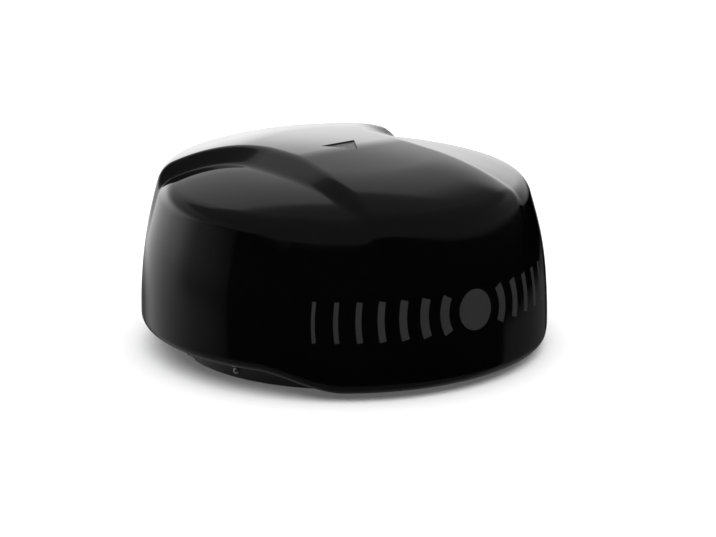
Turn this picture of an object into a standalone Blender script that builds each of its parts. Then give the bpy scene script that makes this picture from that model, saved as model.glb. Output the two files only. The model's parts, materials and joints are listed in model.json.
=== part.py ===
"""An 18-inch radar dome antenna: a moulded dome on a bolt-down base, with a patch-array antenna that a geared
motor turns inside it.

The frame: metres, +Z up, -Y towards the bow, and the origin at the centre of the base's underside. Sizes below
are in millimetres and in degrees. An azimuth is counted from the bow, and both sides of the dome are alike.
"""

import math

import bmesh
import bpy
from mathutils import Matrix, Vector

MM = 0.001
GAP = 0.3  # between pieces that touch on the real object

# Dome, outside
HEIGHT = 248.0
MAX_RADIUS = 254.5
FLAT_RADIUS = 2700.0  # of the nearly flat middle of the crown
FLAT_REACH = 110.0
CROWN_RADIUS = 340.0  # of the rounder ring outside it
RIM_RADIUS = 29.5  # where the top turns down into the wall
WALL_RADIUS = 585.0  # of the wall's own bulge, which is upright where the dome is widest
LIP_RADIUS = 13.0  # where the wall turns under
LIP_END = -80.0  # how far it turns
DOME_WALL = 4.0
CHIN_CLEARANCE = 7.5  # from the ground to the dome's lower edge at the front
LIP_RISE = 21.5  # how much higher that edge is at the sides and back
CHIN_HALF_ANGLE = 38.0
LIP_RISE_END = 63.0

# Shoulders: two lowered areas on the front half of the top, either side of a raised tongue
SHOULDER_STEP = 15.4
TONGUE_HALF_WIDTH = 118.0  # out to the foot of its slopes
SHOULDER_BACK = 118.5  # behind the centre
SHOULDER_CORNER = 80.0
SIDE_SLOPE = 42.0  # how wide the step's slope is along the tongue
BACK_SLOPE = 20.0  # and across the back
SLOPE_ROUNDING = 0.25  # share of the slope that each of its rounded edges takes
TONGUE_FADE = 260.0  # the tongue falls towards the shoulders over this length, from the centre forwards
SHOULDER_REACH = 0.65  # share of the wall over which the step dies out

# Bow mark, a triangular recess on the crown
MARK_LENGTH = 40.5
MARK_WIDTH = 52.0
MARK_DEPTH = 1.5

# Base
SKIRT_INSET = 46.5  # from the dome's widest edge in to the base's foot
BASE_DRAFT = 6.0
BASE_WALL = 3.5
BASE_CHAMFER = 1.0
FLOOR_LOW = 8.0
FLOOR_TOP = 12.0
FLANGE_THICKNESS = 4.0
LIP_MARGIN = 2.4  # from the flange out to the dome's lower edge
RIB_THICKNESS = 3.0
RIB_LOW = 1.0
RIB_AZIMUTHS = (0, 60, 90, 120, 240, 270, 300)
RIB_START = 42.0
DRAIN_AZIMUTH = 103.0
DRAIN_WIDTH = 22.0
DRAIN_HEIGHT = 3.0

# Joint between dome and base
GASKET_INSET = 3.5  # from the top of the skirt out to the gasket
GASKET_WIDTH = 5.5
GASKET_HEIGHT = 3.0
LEDGE_THICKNESS = 3.5
SCREW_INSET = 9.0  # from the gasket out to the middle of the screws
SCREW_COUNT = 10
SCREW_RADIUS = 2.5
SCREW_HEAD_RADIUS = 4.5
SCREW_HEAD_HEIGHT = 4.5
SCREW_LENGTH = 20.0
BOSS_WALL = 3.6

# Mounting to a platform: four M8 inserts on a rectangle
MOUNT_X = 141.5
MOUNT_Y = 233.0
INSERT_RADIUS = 6.0
INSERT_BORE = 3.4
INSERT_LENGTH = 22.0
INSERT_WALL = 8.0  # of the boss round an insert
INSERT_ROOF = 6.0  # and over it

# Connector bay, open to the underside, at the back
BAY_HALF_WIDTH = 50.0
BAY_FRONT = 120.0
BAY_INSET = 4.0  # from the base's foot in to the bay's curved back
BAY_ROOF = 40.0
BAY_WALL = 3.5
NOTCH_HALF_WIDTH = 30.0
NOTCH_HEIGHT = 18.0
CONNECTOR_SPACING = 48.0
CONNECTOR_CLEARANCE = 1.0  # above the floor inside
CONNECTOR_RADIUS = 9.0
CONNECTOR_WALL = 2.2
CONNECTOR_FLANGE = 3.5  # how far it stands out
VENT_RADIUS = 7.5

# Chassis and its bearings
PLATE_LOW = 58.0
PLATE_THICKNESS = 4.0
PLATE_MARGIN = 9.0  # from the motor out to the plate's edge
PLATE_RIM_DEPTH = 6.0
PLATE_HOLE_RADIUS = 18.0
NECK_LOW = 26.0
NECK_WALL = 6.7
POST_INSET = 17.2  # from the plate's edge in to the middle of a post
POST_RADIUS = 7.0
BEARING_RING = 11.7  # from its bore out to its outer face
BEARING_WIDTH = 12.0
RACE_THICKNESS = 3.9
BALL_RADIUS = 3.0
BALL_COUNT = 8
BEARING_SHOULDER = 3.0

# Drive
MODULE = 3.0
GEAR_TEETH = 64
PINION_TEETH = 16
PRESSURE_ANGLE = 20.0
BACKLASH = 0.35  # taken off each tooth's thickness
GEAR_CLEARANCE = 6.0  # from the plate up to the gear
GEAR_WIDTH = 8.0
MOTOR_SIDE = 42.3
MOTOR_LENGTH = 38.0
MOTOR_SHAFT_RADIUS = 2.5
MOTOR_SCREW_OFFSET = 15.5

# Rotor
SHAFT_RADIUS = 14.0
SHAFT_BORE = 8.0
SHAFT_TAIL = 4.3  # below the lower bearing
SHAFT_HEAD = 10.0  # above the gear
HUB_HEIGHT = 30.0  # above the shaft
HUB_WALL = 8.0
HUB_FLANGE_RADIUS = 30.0

# Antenna
SWEEP_CLEARANCE = 16.7  # from the dome's inside to the circle that the antenna sweeps
CROWN_INSET = 59.0  # from the top of the dome down to the antenna
HUB_CLEARANCE = 7.0  # from the hub up to the antenna
ANTENNA_DEPTH = 22.0
ANTENNA_BACK = -14.0  # the y of the frame's back face
SHEET = 2.0
BRACKET_SHEET = 2.5
BRACKET_HALF_WIDTH = 45.0
BRACKET_BACK = 30.0
BRACKET_INSET = 17.0  # from the top of the antenna down to the bracket's
PATCH_ROWS = 2
PATCH_COLUMNS = 14
PATCH_SHARE = 0.59  # of a patch's pitch

# Electronics
BOARD_THICKNESS = 1.6
BOARD_LOW = 30.0
BOARD_HALF_WIDTH = 54.0
BOARD_BACK = -62.0
BOARD_INSET = 18.0  # from the base's foot in to the board's front edge
CASE_TOP = 38.0

# Values that follow from those above
BASE_RADIUS = MAX_RADIUS - SKIRT_INSET
SKIRT_TOP = BASE_RADIUS + BASE_DRAFT
GASKET_INNER = SKIRT_TOP + GASKET_INSET
SCREW_CIRCLE = GASKET_INNER + GASKET_WIDTH + SCREW_INSET
LIP_CENTRE_R = MAX_RADIUS - LIP_RADIUS
LIP_CENTRE_Z = CHIN_CLEARANCE + LIP_RISE - LIP_RADIUS * math.sin(math.radians(LIP_END))
FLANGE_LOW = CHIN_CLEARANCE + LIP_RISE + GAP
FLANGE_TOP = FLANGE_LOW + FLANGE_THICKNESS
FLANGE_RADIUS = LIP_CENTRE_R + LIP_RADIUS * math.cos(math.radians(LIP_END)) - LIP_MARGIN
LEDGE_LOW = FLANGE_TOP + GASKET_HEIGHT + GAP
CONNECTOR_HEIGHT = FLOOR_TOP + CONNECTOR_RADIUS + CONNECTOR_CLEARANCE
PLATE_TOP = PLATE_LOW + PLATE_THICKNESS
GEAR_RADIUS = MODULE * GEAR_TEETH / 2
PINION_RADIUS = MODULE * PINION_TEETH / 2
MOTOR_X = -(GEAR_RADIUS + PINION_RADIUS)
PLATE_RADIUS = MOTOR_SIDE / 2 + PLATE_MARGIN - MOTOR_X
BEARING_INNER = SHAFT_RADIUS + GAP
BEARING_OUTER = BEARING_INNER + BEARING_RING
NECK_RADIUS = BEARING_OUTER + GAP + NECK_WALL
BALL_CIRCLE = (BEARING_OUTER + BEARING_INNER) / 2
LOWER_BEARING = NECK_LOW + 0.8
UPPER_BEARING = PLATE_TOP - 0.8 - BEARING_WIDTH
GEAR_LOW = PLATE_TOP + GEAR_CLEARANCE
SHAFT_LOW = LOWER_BEARING - SHAFT_TAIL
SHAFT_TOP = GEAR_LOW + GEAR_WIDTH + SHAFT_HEAD
HUB_TOP = SHAFT_TOP + HUB_HEIGHT
SPIGOT_RADIUS = SHAFT_RADIUS + HUB_WALL
ANTENNA_LOW = HUB_TOP + HUB_CLEARANCE
ANTENNA_TOP = HEIGHT - CROWN_INSET
BRACKET_TOP = ANTENNA_TOP - BRACKET_INSET
BOARD_FRONT = BOARD_INSET - BASE_RADIUS


# ---------------------------------------------------------------- modelling helpers


def clear_scene():
    for old in list(bpy.data.objects):
        bpy.data.objects.remove(old, do_unlink=True)


def make_material(name, colour, roughness, metallic=0.0):
    material = bpy.data.materials.new(name)
    material.use_nodes = True
    shader = material.node_tree.nodes["Principled BSDF"]
    shader.inputs["Base Color"].default_value = (*colour, 1.0)
    shader.inputs["Roughness"].default_value = roughness
    shader.inputs["Metallic"].default_value = metallic
    return material


def add_turned(bm, profile, segments, centre=(0.0, 0.0)):
    """Adds the solid that a closed outline of (radius, height) points makes when it turns about an axis."""
    rings = []
    for radius, height in profile:
        if radius == 0:
            rings.append([bm.verts.new((centre[0], centre[1], height))])
            continue
        angles = [math.tau * (step + 0.5) / segments for step in range(segments)]
        rings.append(
            [
                bm.verts.new((centre[0] + radius * math.cos(a), centre[1] + radius * math.sin(a), height))
                for a in angles
            ]
        )
    for lower, upper in zip(rings, rings[1:] + rings[:1]):
        bridge(bm, lower, upper)


def bridge(bm, lower, upper):
    """Joins two rings of vertices with faces. A ring of one vertex is a pole."""
    count = max(len(lower), len(upper))
    if count == 1:
        return
    for step in range(count):
        after = (step + 1) % count
        corners = [
            lower[step % len(lower)],
            lower[after % len(lower)],
            upper[after % len(upper)],
            upper[step % len(upper)],
        ]
        bm.faces.new(list(dict.fromkeys(corners)))


def add_prism(bm, outline, low, high):
    """Adds an upright prism over an outline of (x, y) points."""
    bottom = [bm.verts.new((x, y, low)) for x, y in outline]
    top = [bm.verts.new((x, y, high)) for x, y in outline]
    bm.faces.new(bottom)
    bm.faces.new(top)
    bridge(bm, bottom, top)


def add_box(bm, x, y, z):
    """Adds a box from its three (low, high) pairs."""
    add_prism(bm, [(x[0], y[0]), (x[1], y[0]), (x[1], y[1]), (x[0], y[1])], *z)


def add_cylinder(bm, centre, radius, low, high, segments=16):
    add_turned(bm, [(0, low), (radius, low), (radius, high), (0, high)], segments, centre)


def polar(azimuth, radius):
    """The (x, y) point at an azimuth from the bow."""
    angle = math.radians(azimuth)
    return radius * math.sin(angle), -radius * math.cos(angle)


def finish(name, bm, material, parent=None, location=(0, 0, 0), rotation=(0, 0, 0)):
    """Makes the object from a mesh in millimetres, at a place in millimetres."""
    bmesh.ops.recalc_face_normals(bm, faces=bm.faces)
    bmesh.ops.scale(bm, vec=(MM, MM, MM), verts=bm.verts)
    mesh = bpy.data.meshes.new(name)
    bm.to_mesh(mesh)
    bm.free()
    mesh.shade_smooth()
    mesh.set_sharp_from_angle(angle=math.radians(35))
    return place(name, mesh, material, parent, location, rotation)


def place(name, data, material, parent=None, location=(0, 0, 0), rotation=(0, 0, 0)):
    obj = bpy.data.objects.new(name, data)
    bpy.context.scene.collection.objects.link(obj)
    if material and not data.materials:
        data.materials.append(material)
    obj.parent = parent
    offset = Vector(location) * MM
    obj.location = offset - parent.location if parent else offset
    obj.rotation_euler = [math.radians(turn) for turn in rotation]
    return obj


def pivot(name, x=0.0, y=0.0, z=0.0):
    empty = bpy.data.objects.new(name, None)
    bpy.context.scene.collection.objects.link(empty)
    empty.location = Vector((x, y, z)) * MM
    return empty


def combine(target, bm, operation, name, rotation=(0, 0, 0), location=(0, 0, 0)):
    """Cuts or joins a helper made from a mesh in millimetres."""
    helper = finish(f"{target.name}_{name}", bm, None, None, location, rotation)
    helper.hide_render = True
    helper.display_type = "WIRE"
    modifier = target.modifiers.new(name, "BOOLEAN")
    modifier.operation = operation
    modifier.solver = "EXACT"
    modifier.object = helper


def cut(target, bm, name, **where):
    combine(target, bm, "DIFFERENCE", name, **where)


def join(target, bm, name, **where):
    combine(target, bm, "UNION", name, **where)


def smooth_route(points, steps=3):
    """Points on a Catmull-Rom curve through a route's own points."""
    ends = [points[0], *points, points[-1]]
    route = []
    for a, b, c, d in zip(ends, ends[1:], ends[2:], ends[3:]):
        a, b, c, d = (Vector(p) for p in (a, b, c, d))
        for step in range(steps):
            t = step / steps
            route.append(
                0.5 * (2 * b + (c - a) * t + (2 * a - 5 * b + 4 * c - d) * t**2 + (3 * b - a - 3 * c + d) * t**3)
            )
    return [*route, Vector(points[-1])]


def add_tube(name, points, radius, material, parent=None):
    """A round cable along a route, with closed ends."""
    curve = bpy.data.curves.new(name, "CURVE")
    curve.dimensions = "3D"
    curve.bevel_depth = radius * MM
    curve.bevel_resolution = 2
    curve.use_fill_caps = True
    route = smooth_route(points)
    spline = curve.splines.new("POLY")
    spline.points.add(len(route) - 1)
    origin = parent.location if parent else Vector((0, 0, 0))
    for point, place_on_route in zip(spline.points, route):
        point.co = (*(place_on_route * MM), 1.0)
    obj = place(name, curve, material, parent)
    obj.location = -origin
    return obj


# ---------------------------------------------------------------- dome


def smoothstep(value):
    value = min(1.0, max(0.0, value))
    return value * value * (3 - 2 * value)


def ramp(share):
    """Rises from 0 to 1, straight in the middle and rounded at both ends."""
    share = min(1.0, max(0.0, share))
    steepness = 1 / (1 - SLOPE_ROUNDING)
    if share < SLOPE_ROUNDING:
        return steepness * share**2 / (2 * SLOPE_ROUNDING)
    if share > 1 - SLOPE_ROUNDING:
        return 1 - steepness * (1 - share) ** 2 / (2 * SLOPE_ROUNDING)
    return steepness * (share - SLOPE_ROUNDING / 2)


def raised(x, y):
    """The share of the shoulders' step that the top stands above them: 0 on a shoulder, 1 behind the centre."""
    across, along = abs(x) - TONGUE_HALF_WIDTH, SHOULDER_BACK - y
    corner = Vector((SHOULDER_CORNER - across, SHOULDER_CORNER - along))
    if corner.x > 0 and corner.y > 0:
        depth, backness = SHOULDER_CORNER - corner.length, corner.y**2 / corner.length_squared
    else:
        depth, backness = min(across, along), float(along < across)
    forward = max(0.0, -y / TONGUE_FADE)
    height = max(0.05, 1 - (5 * forward**2 if forward < 0.1 else forward - 0.05))
    width = SIDE_SLOPE + (BACK_SLOPE - SIDE_SLOPE) * backness
    return height * ramp(-depth / (width * height))


def chin(azimuth):
    """1 at the front, where the dome's edge hangs lowest, and 0 round the sides and back."""
    away = abs((azimuth + 180) % 360 - 180)
    return 1 - smoothstep((away - CHIN_HALF_ANGLE) / (LIP_RISE_END - CHIN_HALF_ANGLE))


def arc_points(centre, radius, start, end, shares):
    """Points on a circle at shares of the way between two angles."""
    angles = [start + (end - start) * share for share in shares]
    return [centre + radius * Vector((math.cos(angle), math.sin(angle))) for angle in angles]


def inner_tangent(centre, radius, other_centre, other_radius, size):
    """The centre of the circle of a size that touches two circles from inside, on their outer side."""
    reach, other_reach = radius - size, other_radius - size
    apart = other_centre - centre
    along = (reach**2 - other_reach**2 + apart.length_squared) / (2 * apart.length)
    aside = math.sqrt(reach**2 - along**2)
    towards = apart.normalized()
    across = Vector((-towards.y, towards.x))
    return max((centre + along * towards + side * aside * across for side in (-1, 1)), key=lambda spot: spot.x)


def dome_profile():
    """(radius, height, share of the shoulders' step, share of the chin's drop) from the crown to the lip."""
    flat_centre = Vector((0, HEIGHT - FLAT_RADIUS))
    flat_end = math.acos(FLAT_REACH / FLAT_RADIUS)
    crown_centre = flat_centre + (FLAT_RADIUS - CROWN_RADIUS) * Vector((math.cos(flat_end), math.sin(flat_end)))
    wall_centre = Vector((MAX_RADIUS - WALL_RADIUS, LIP_CENTRE_Z))
    rim_centre = inner_tangent(crown_centre, CROWN_RADIUS, wall_centre, WALL_RADIUS, RIM_RADIUS)
    crown_end = math.atan2(*(rim_centre - crown_centre).yx)
    wall_end = math.atan2(*(rim_centre - wall_centre).yx)
    top = arc_points(flat_centre, FLAT_RADIUS, math.pi / 2, flat_end, (0, 0.4, 0.72, 1))
    top[0].x = 0.0
    top += arc_points(crown_centre, CROWN_RADIUS, flat_end, crown_end, (0.26, 0.52, 0.77, 1))
    top += arc_points(rim_centre, RIM_RADIUS, crown_end, wall_end, (0.33, 0.67, 1))
    points = [(*point, 1.0, 0.0) for point in top]
    shares = (0.25, 0.5, 0.75, 1)
    for share, point in zip(shares, arc_points(wall_centre, WALL_RADIUS, wall_end, 0.0, shares)):
        points.append((*point, 1 - smoothstep(share / SHOULDER_REACH), smoothstep(share)))
    lip = arc_points(Vector((LIP_CENTRE_R, LIP_CENTRE_Z)), LIP_RADIUS, 0.0, math.radians(LIP_END), (0.33, 0.67, 1))
    return points + [(*point, 0.0, 1.0) for point in lip]


def dome_point(point, azimuth):
    radius, height, step_share, drop_share = point
    x, y = polar(azimuth, radius)
    step = SHOULDER_STEP * step_share * (1 - raised(x, y))
    return x, y, height - step - LIP_RISE * drop_share * chin(azimuth)


def wall_middle(height, azimuth):
    """The radius halfway through the dome's wall, near its lower edge."""
    above = height - LIP_CENTRE_Z + LIP_RISE * chin(azimuth)
    if above > 0:
        return MAX_RADIUS - WALL_RADIUS + math.sqrt((WALL_RADIUS - DOME_WALL / 2) ** 2 - above**2)
    return LIP_CENTRE_R + math.sqrt((LIP_RADIUS - DOME_WALL / 2) ** 2 - above**2)


def cover_screw_azimuths():
    return [360 / SCREW_COUNT * number for number in range(SCREW_COUNT)]


def make_dome(material, segments=48):
    bm = bmesh.new()
    azimuths = [360 * step / segments for step in range(segments)]
    rings = []
    for point in dome_profile():
        spots = azimuths if point[0] else azimuths[:1]
        rings.append([bm.verts.new(dome_point(point, azimuth)) for azimuth in spots])
    for upper, lower in zip(rings, rings[1:]):
        bridge(bm, upper, lower)
    dome = finish("radome_cover", bm, material)
    shell = dome.modifiers.new("wall", "SOLIDIFY")
    shell.thickness = DOME_WALL * MM
    shell.offset = -1
    shell.use_even_offset = True

    ledge = bmesh.new()
    ledge_top = LEDGE_LOW + LEDGE_THICKNESS
    edges = []
    for height in (LEDGE_LOW, ledge_top):
        inner = [ledge.verts.new((*polar(a, GASKET_INNER - 2), height)) for a in azimuths]
        middle = (LEDGE_LOW + ledge_top) / 2
        outer = [ledge.verts.new((*polar(a, wall_middle(middle, a)), height)) for a in azimuths]
        edges += [inner, outer] if height == LEDGE_LOW else [outer, inner]
    for one, other in zip(edges, edges[1:] + edges[:1]):
        bridge(ledge, one, other)
    join(dome, ledge, "ledge")

    bosses, holes = bmesh.new(), bmesh.new()
    screw_top = FLANGE_LOW - GAP + SCREW_LENGTH
    for azimuth in cover_screw_azimuths():
        centre = polar(azimuth, SCREW_CIRCLE)
        add_cylinder(bosses, centre, SCREW_RADIUS + BOSS_WALL, LEDGE_LOW + 1, screw_top + 4, 10)
        add_cylinder(holes, centre, SCREW_RADIUS + GAP, LEDGE_LOW - 1, screw_top + 1, 8)
    join(dome, bosses, "bosses")
    cut(dome, holes, "screw_holes")

    mark = bmesh.new()
    tip = MARK_LENGTH * 2 / 3
    back = MARK_LENGTH / 3
    outline = [(0, -tip), (MARK_WIDTH / 2, back), (-MARK_WIDTH / 2, back)]
    add_prism(mark, outline, HEIGHT - MARK_DEPTH, HEIGHT + 5)
    cut(dome, mark, "bow_mark")


# ---------------------------------------------------------------- base


def mount_points():
    return [(sx * MOUNT_X / 2, sy * MOUNT_Y / 2) for sx in (-1, 1) for sy in (-1, 1)]


def post_points():
    return [polar(azimuth, PLATE_RADIUS - POST_INSET) for azimuth in (315, 225, 45, 135)]


def board_standoffs():
    return [(sx * (BOARD_HALF_WIDTH - 6), y) for sx in (-1, 1) for y in (BOARD_FRONT + 6, BOARD_BACK - 10)]


def bay_outline(half_width, front, back_radius):
    """The bay's plan: straight at the front and sides, and curved with the base at the back."""
    side = math.degrees(math.asin(half_width / back_radius))
    back = [polar(180 + side * share / 3, back_radius) for share in range(-3, 4)]
    return [(half_width, front), *back, (-half_width, front)]


def make_base(material):
    bm = bmesh.new()
    add_turned(
        bm,
        [
            (0, FLOOR_LOW),
            (BASE_RADIUS - BASE_WALL, FLOOR_LOW),
            (BASE_RADIUS - BASE_WALL, 0),
            (BASE_RADIUS - BASE_CHAMFER, 0),
            (BASE_RADIUS, BASE_CHAMFER),
            (SKIRT_TOP, FLANGE_LOW),
            (FLANGE_RADIUS, FLANGE_LOW),
            (FLANGE_RADIUS, FLANGE_TOP),
            (SKIRT_TOP - BASE_WALL, FLANGE_TOP),
            (BASE_RADIUS - BASE_WALL, FLOOR_TOP),
            (0, FLOOR_TOP),
        ],
        48,
    )
    base = finish("lower_housing", bm, material)

    ribs = bmesh.new()
    for azimuth in RIB_AZIMUTHS:
        along, across = Vector(polar(azimuth, 1)), Vector(polar(azimuth + 90, RIB_THICKNESS / 2))
        near, far = along * RIB_START, along * (BASE_RADIUS - 2)
        add_prism(ribs, [near - across, far - across, far + across, near + across], RIB_LOW, FLOOR_LOW + 1)
    join(base, ribs, "ribs")

    bosses = bmesh.new()
    for centre in mount_points():
        add_cylinder(bosses, centre, INSERT_RADIUS + INSERT_WALL, 0, INSERT_LENGTH + INSERT_ROOF, 14)
    for centre in post_points():
        add_cylinder(bosses, centre, POST_RADIUS, FLOOR_LOW + 1, PLATE_LOW - GAP, 10)
    for centre in board_standoffs():
        add_cylinder(bosses, centre, 4.0, FLOOR_LOW + 1, BOARD_LOW - GAP, 8)
    join(base, bosses, "bosses")

    bay = bmesh.new()
    outline = bay_outline(BAY_HALF_WIDTH + BAY_WALL, BAY_FRONT - BAY_WALL, BASE_RADIUS + BASE_DRAFT / 10)
    add_prism(bay, outline, FLOOR_LOW + 1, BAY_ROOF + BAY_WALL)
    join(base, bay, "bay_walls")
    hollow = bmesh.new()
    add_prism(hollow, bay_outline(BAY_HALF_WIDTH, BAY_FRONT, BASE_RADIUS - BAY_INSET), -5, BAY_ROOF)
    cut(base, hollow, "bay")
    notch = bmesh.new()
    ends = (BASE_RADIUS - 20, BASE_RADIUS + 10)
    add_box(notch, (-NOTCH_HALF_WIDTH, NOTCH_HALF_WIDTH), ends, (-4, NOTCH_HEIGHT))
    cut(base, notch, "cable_notch")

    holes = bmesh.new()
    for centre in mount_points():
        add_cylinder(holes, centre, INSERT_RADIUS + GAP, -3, INSERT_LENGTH + 2 * GAP, 12)
    for centre in post_points():
        add_cylinder(holes, centre, 2.0, PLATE_LOW - 18, PLATE_LOW + 2, 8)
    for azimuth in cover_screw_azimuths():
        add_cylinder(holes, polar(azimuth, SCREW_CIRCLE), SCREW_RADIUS + GAP, FLANGE_LOW - 2, FLANGE_TOP + 2, 8)
    cut(base, holes, "holes")

    drains = bmesh.new()
    for azimuth in (-DRAIN_AZIMUTH, DRAIN_AZIMUTH):
        along, across = Vector(polar(azimuth, 1)), Vector(polar(azimuth + 90, DRAIN_WIDTH / 2))
        near, far = along * (BASE_RADIUS - 10), along * (BASE_RADIUS + 10)
        add_prism(drains, [near - across, far - across, far + across, near + across], -3, DRAIN_HEIGHT)
    cut(base, drains, "drains")

    ports = bmesh.new()
    for x in (-CONNECTOR_SPACING / 2, 0, CONNECTOR_SPACING / 2):
        radius = CONNECTOR_RADIUS if x else VENT_RADIUS - 2.5
        add_cylinder(ports, (x, -CONNECTOR_HEIGHT), radius + GAP, BAY_FRONT - BAY_WALL - 5, BAY_FRONT + 5, 14)
    cut(base, ports, "ports", rotation=(-90, 0, 0))


def make_gasket(material):
    bm = bmesh.new()
    low, high = FLANGE_TOP + GAP, LEDGE_LOW - GAP
    outer = GASKET_INNER + GASKET_WIDTH
    add_turned(bm, [(GASKET_INNER, low), (outer, low), (outer, high), (GASKET_INNER, high)], 48)
    finish("rim_gasket", bm, material)


def screw_mesh(name, radius, length, head_radius, head_height, socket_radius, segments=8):
    """A socket screw standing on its head, with the underside of the head at z 0 and the shank going up."""
    bm = bmesh.new()
    socket = head_height * 0.55
    add_turned(
        bm,
        [
            (0, socket - head_height),
            (socket_radius, socket - head_height),
            (socket_radius, -head_height),
            (head_radius * 0.8, -head_height),
            (head_radius, -head_height * 0.75),
            (head_radius, 0),
            (radius, 0),
            (radius, length),
            (0, length),
        ],
        segments,
    )
    bmesh.ops.recalc_face_normals(bm, faces=bm.faces)
    bmesh.ops.scale(bm, vec=(MM, MM, MM), verts=bm.verts)
    mesh = bpy.data.meshes.new(name)
    bm.to_mesh(mesh)
    bm.free()
    mesh.shade_smooth()
    mesh.set_sharp_from_angle(angle=math.radians(35))
    return mesh


def make_cover_screws(material):
    mesh = screw_mesh("cover_screw", SCREW_RADIUS, SCREW_LENGTH, SCREW_HEAD_RADIUS, SCREW_HEAD_HEIGHT, 2.0)
    for number, azimuth in enumerate(cover_screw_azimuths(), 1):
        location = (*polar(azimuth, SCREW_CIRCLE), FLANGE_LOW - GAP)
        place(f"cover_screw_{number:02d}", mesh, material, location=location)


def make_mount_inserts(material):
    bm = bmesh.new()
    add_turned(
        bm,
        [
            (INSERT_BORE, 0),
            (INSERT_RADIUS, 0),
            (INSERT_RADIUS, INSERT_LENGTH),
            (INSERT_BORE, INSERT_LENGTH),
        ],
        12,
    )
    first = finish("mount_insert_1", bm, material, location=(*mount_points()[0], GAP))
    for number, centre in enumerate(mount_points()[1:], 2):
        place(f"mount_insert_{number}", first.data, material, location=(*centre, GAP))


# ---------------------------------------------------------------- connectors


def make_connector(name, x, pins, shell_material, contact_material):
    """A bulkhead socket through the bay's front wall, with its mouth towards the back."""
    wall_face = GAP
    bore, flange = CONNECTOR_RADIUS - CONNECTOR_WALL, CONNECTOR_RADIUS + CONNECTOR_FLANGE
    shell = bmesh.new()
    add_turned(
        shell,
        [
            (bore, -20),
            (CONNECTOR_RADIUS, -20),
            (CONNECTOR_RADIUS, wall_face),
            (flange, wall_face),
            (flange, wall_face + 3),
            (CONNECTOR_RADIUS + 1, wall_face + 3),
            (CONNECTOR_RADIUS + 1, 20),
            (bore, 20),
        ],
        14,
    )
    where = {"location": (x, BAY_FRONT, CONNECTOR_HEIGHT), "rotation": (-90, 0, 0)}
    finish(f"{name}_connector", shell, shell_material, **where)
    contacts = bmesh.new()
    add_cylinder(contacts, (0, 0), bore - GAP, -18, 6, 16)
    block = finish(f"{name}_contacts", contacts, contact_material, **where)
    pin_bodies = bmesh.new()
    for number in range(pins):
        angle = math.tau * (number + 0.5) / pins
        add_cylinder(pin_bodies, (3.6 * math.cos(angle), 3.6 * math.sin(angle)), 0.8, 5, 12, 6)
    join(block, pin_bodies, "pins", **where)


def make_vent(material):
    bm = bmesh.new()
    stem = VENT_RADIUS - 2.5
    add_turned(
        bm,
        [
            (0, -8),
            (stem, -8),
            (stem, GAP),
            (VENT_RADIUS, GAP),
            (VENT_RADIUS, 3.5),
            (VENT_RADIUS - 1.5, 5),
            (0, 5),
        ],
        16,
    )
    finish("breather_vent", bm, material, location=(0, BAY_FRONT, CONNECTOR_HEIGHT), rotation=(-90, 0, 0))


# ---------------------------------------------------------------- chassis and bearings


def make_chassis(material, screw_material):
    bore = BEARING_OUTER + GAP
    shoulder_bore = bore - BEARING_SHOULDER
    lower_seat = LOWER_BEARING + BEARING_WIDTH + GAP
    upper_seat = UPPER_BEARING - GAP
    bm = bmesh.new()
    add_turned(
        bm,
        [
            (bore, NECK_LOW),
            (NECK_RADIUS, NECK_LOW),
            (NECK_RADIUS, PLATE_LOW),
            (PLATE_RADIUS - 4, PLATE_LOW),
            (PLATE_RADIUS - 4, PLATE_LOW - PLATE_RIM_DEPTH),
            (PLATE_RADIUS, PLATE_LOW - PLATE_RIM_DEPTH),
            (PLATE_RADIUS, PLATE_TOP),
            (bore, PLATE_TOP),
            (bore, upper_seat),
            (shoulder_bore, upper_seat),
            (shoulder_bore, lower_seat),
            (bore, lower_seat),
        ],
        32,
    )
    chassis = finish("chassis_plate", bm, material)
    holes = bmesh.new()
    for centre in post_points():
        add_cylinder(holes, centre, 2.4, PLATE_LOW - 3, PLATE_TOP + 3, 8)
    add_cylinder(holes, (MOTOR_X, 0), 11.4, PLATE_LOW - 3, PLATE_TOP + 3, 16)
    for centre in motor_screw_points():
        add_cylinder(holes, centre, 1.9, PLATE_LOW - 3, PLATE_TOP + 3, 8)
    for azimuth in (0, 45, 90, 135):
        centre = polar(azimuth, (NECK_RADIUS + PLATE_RADIUS) / 2)
        add_cylinder(holes, centre, PLATE_HOLE_RADIUS, PLATE_LOW - 3, PLATE_TOP + 3, 10)
    cut(chassis, holes, "holes")
    mesh = screw_mesh("chassis_screw", 1.7, 14.0, 3.6, 2.6, 1.5, 8)
    for number, centre in enumerate(post_points(), 1):
        location = (*centre, PLATE_TOP + GAP)
        place(f"chassis_screw_{number}", mesh, screw_material, location=location, rotation=(180, 0, 0))


def groove(race_radius, side):
    """The round groove that the balls run in, as (radius, height) points about the bearing's middle."""
    track = BALL_RADIUS + GAP
    half_width = math.sqrt(track**2 - (BALL_CIRCLE - race_radius) ** 2)
    opening = math.asin(half_width / track)
    angles = [opening * share for share in (-1, -0.5, 0, 0.5, 1)]
    return [(BALL_CIRCLE + side * track * math.cos(a), track * math.sin(a)) for a in angles]


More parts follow.
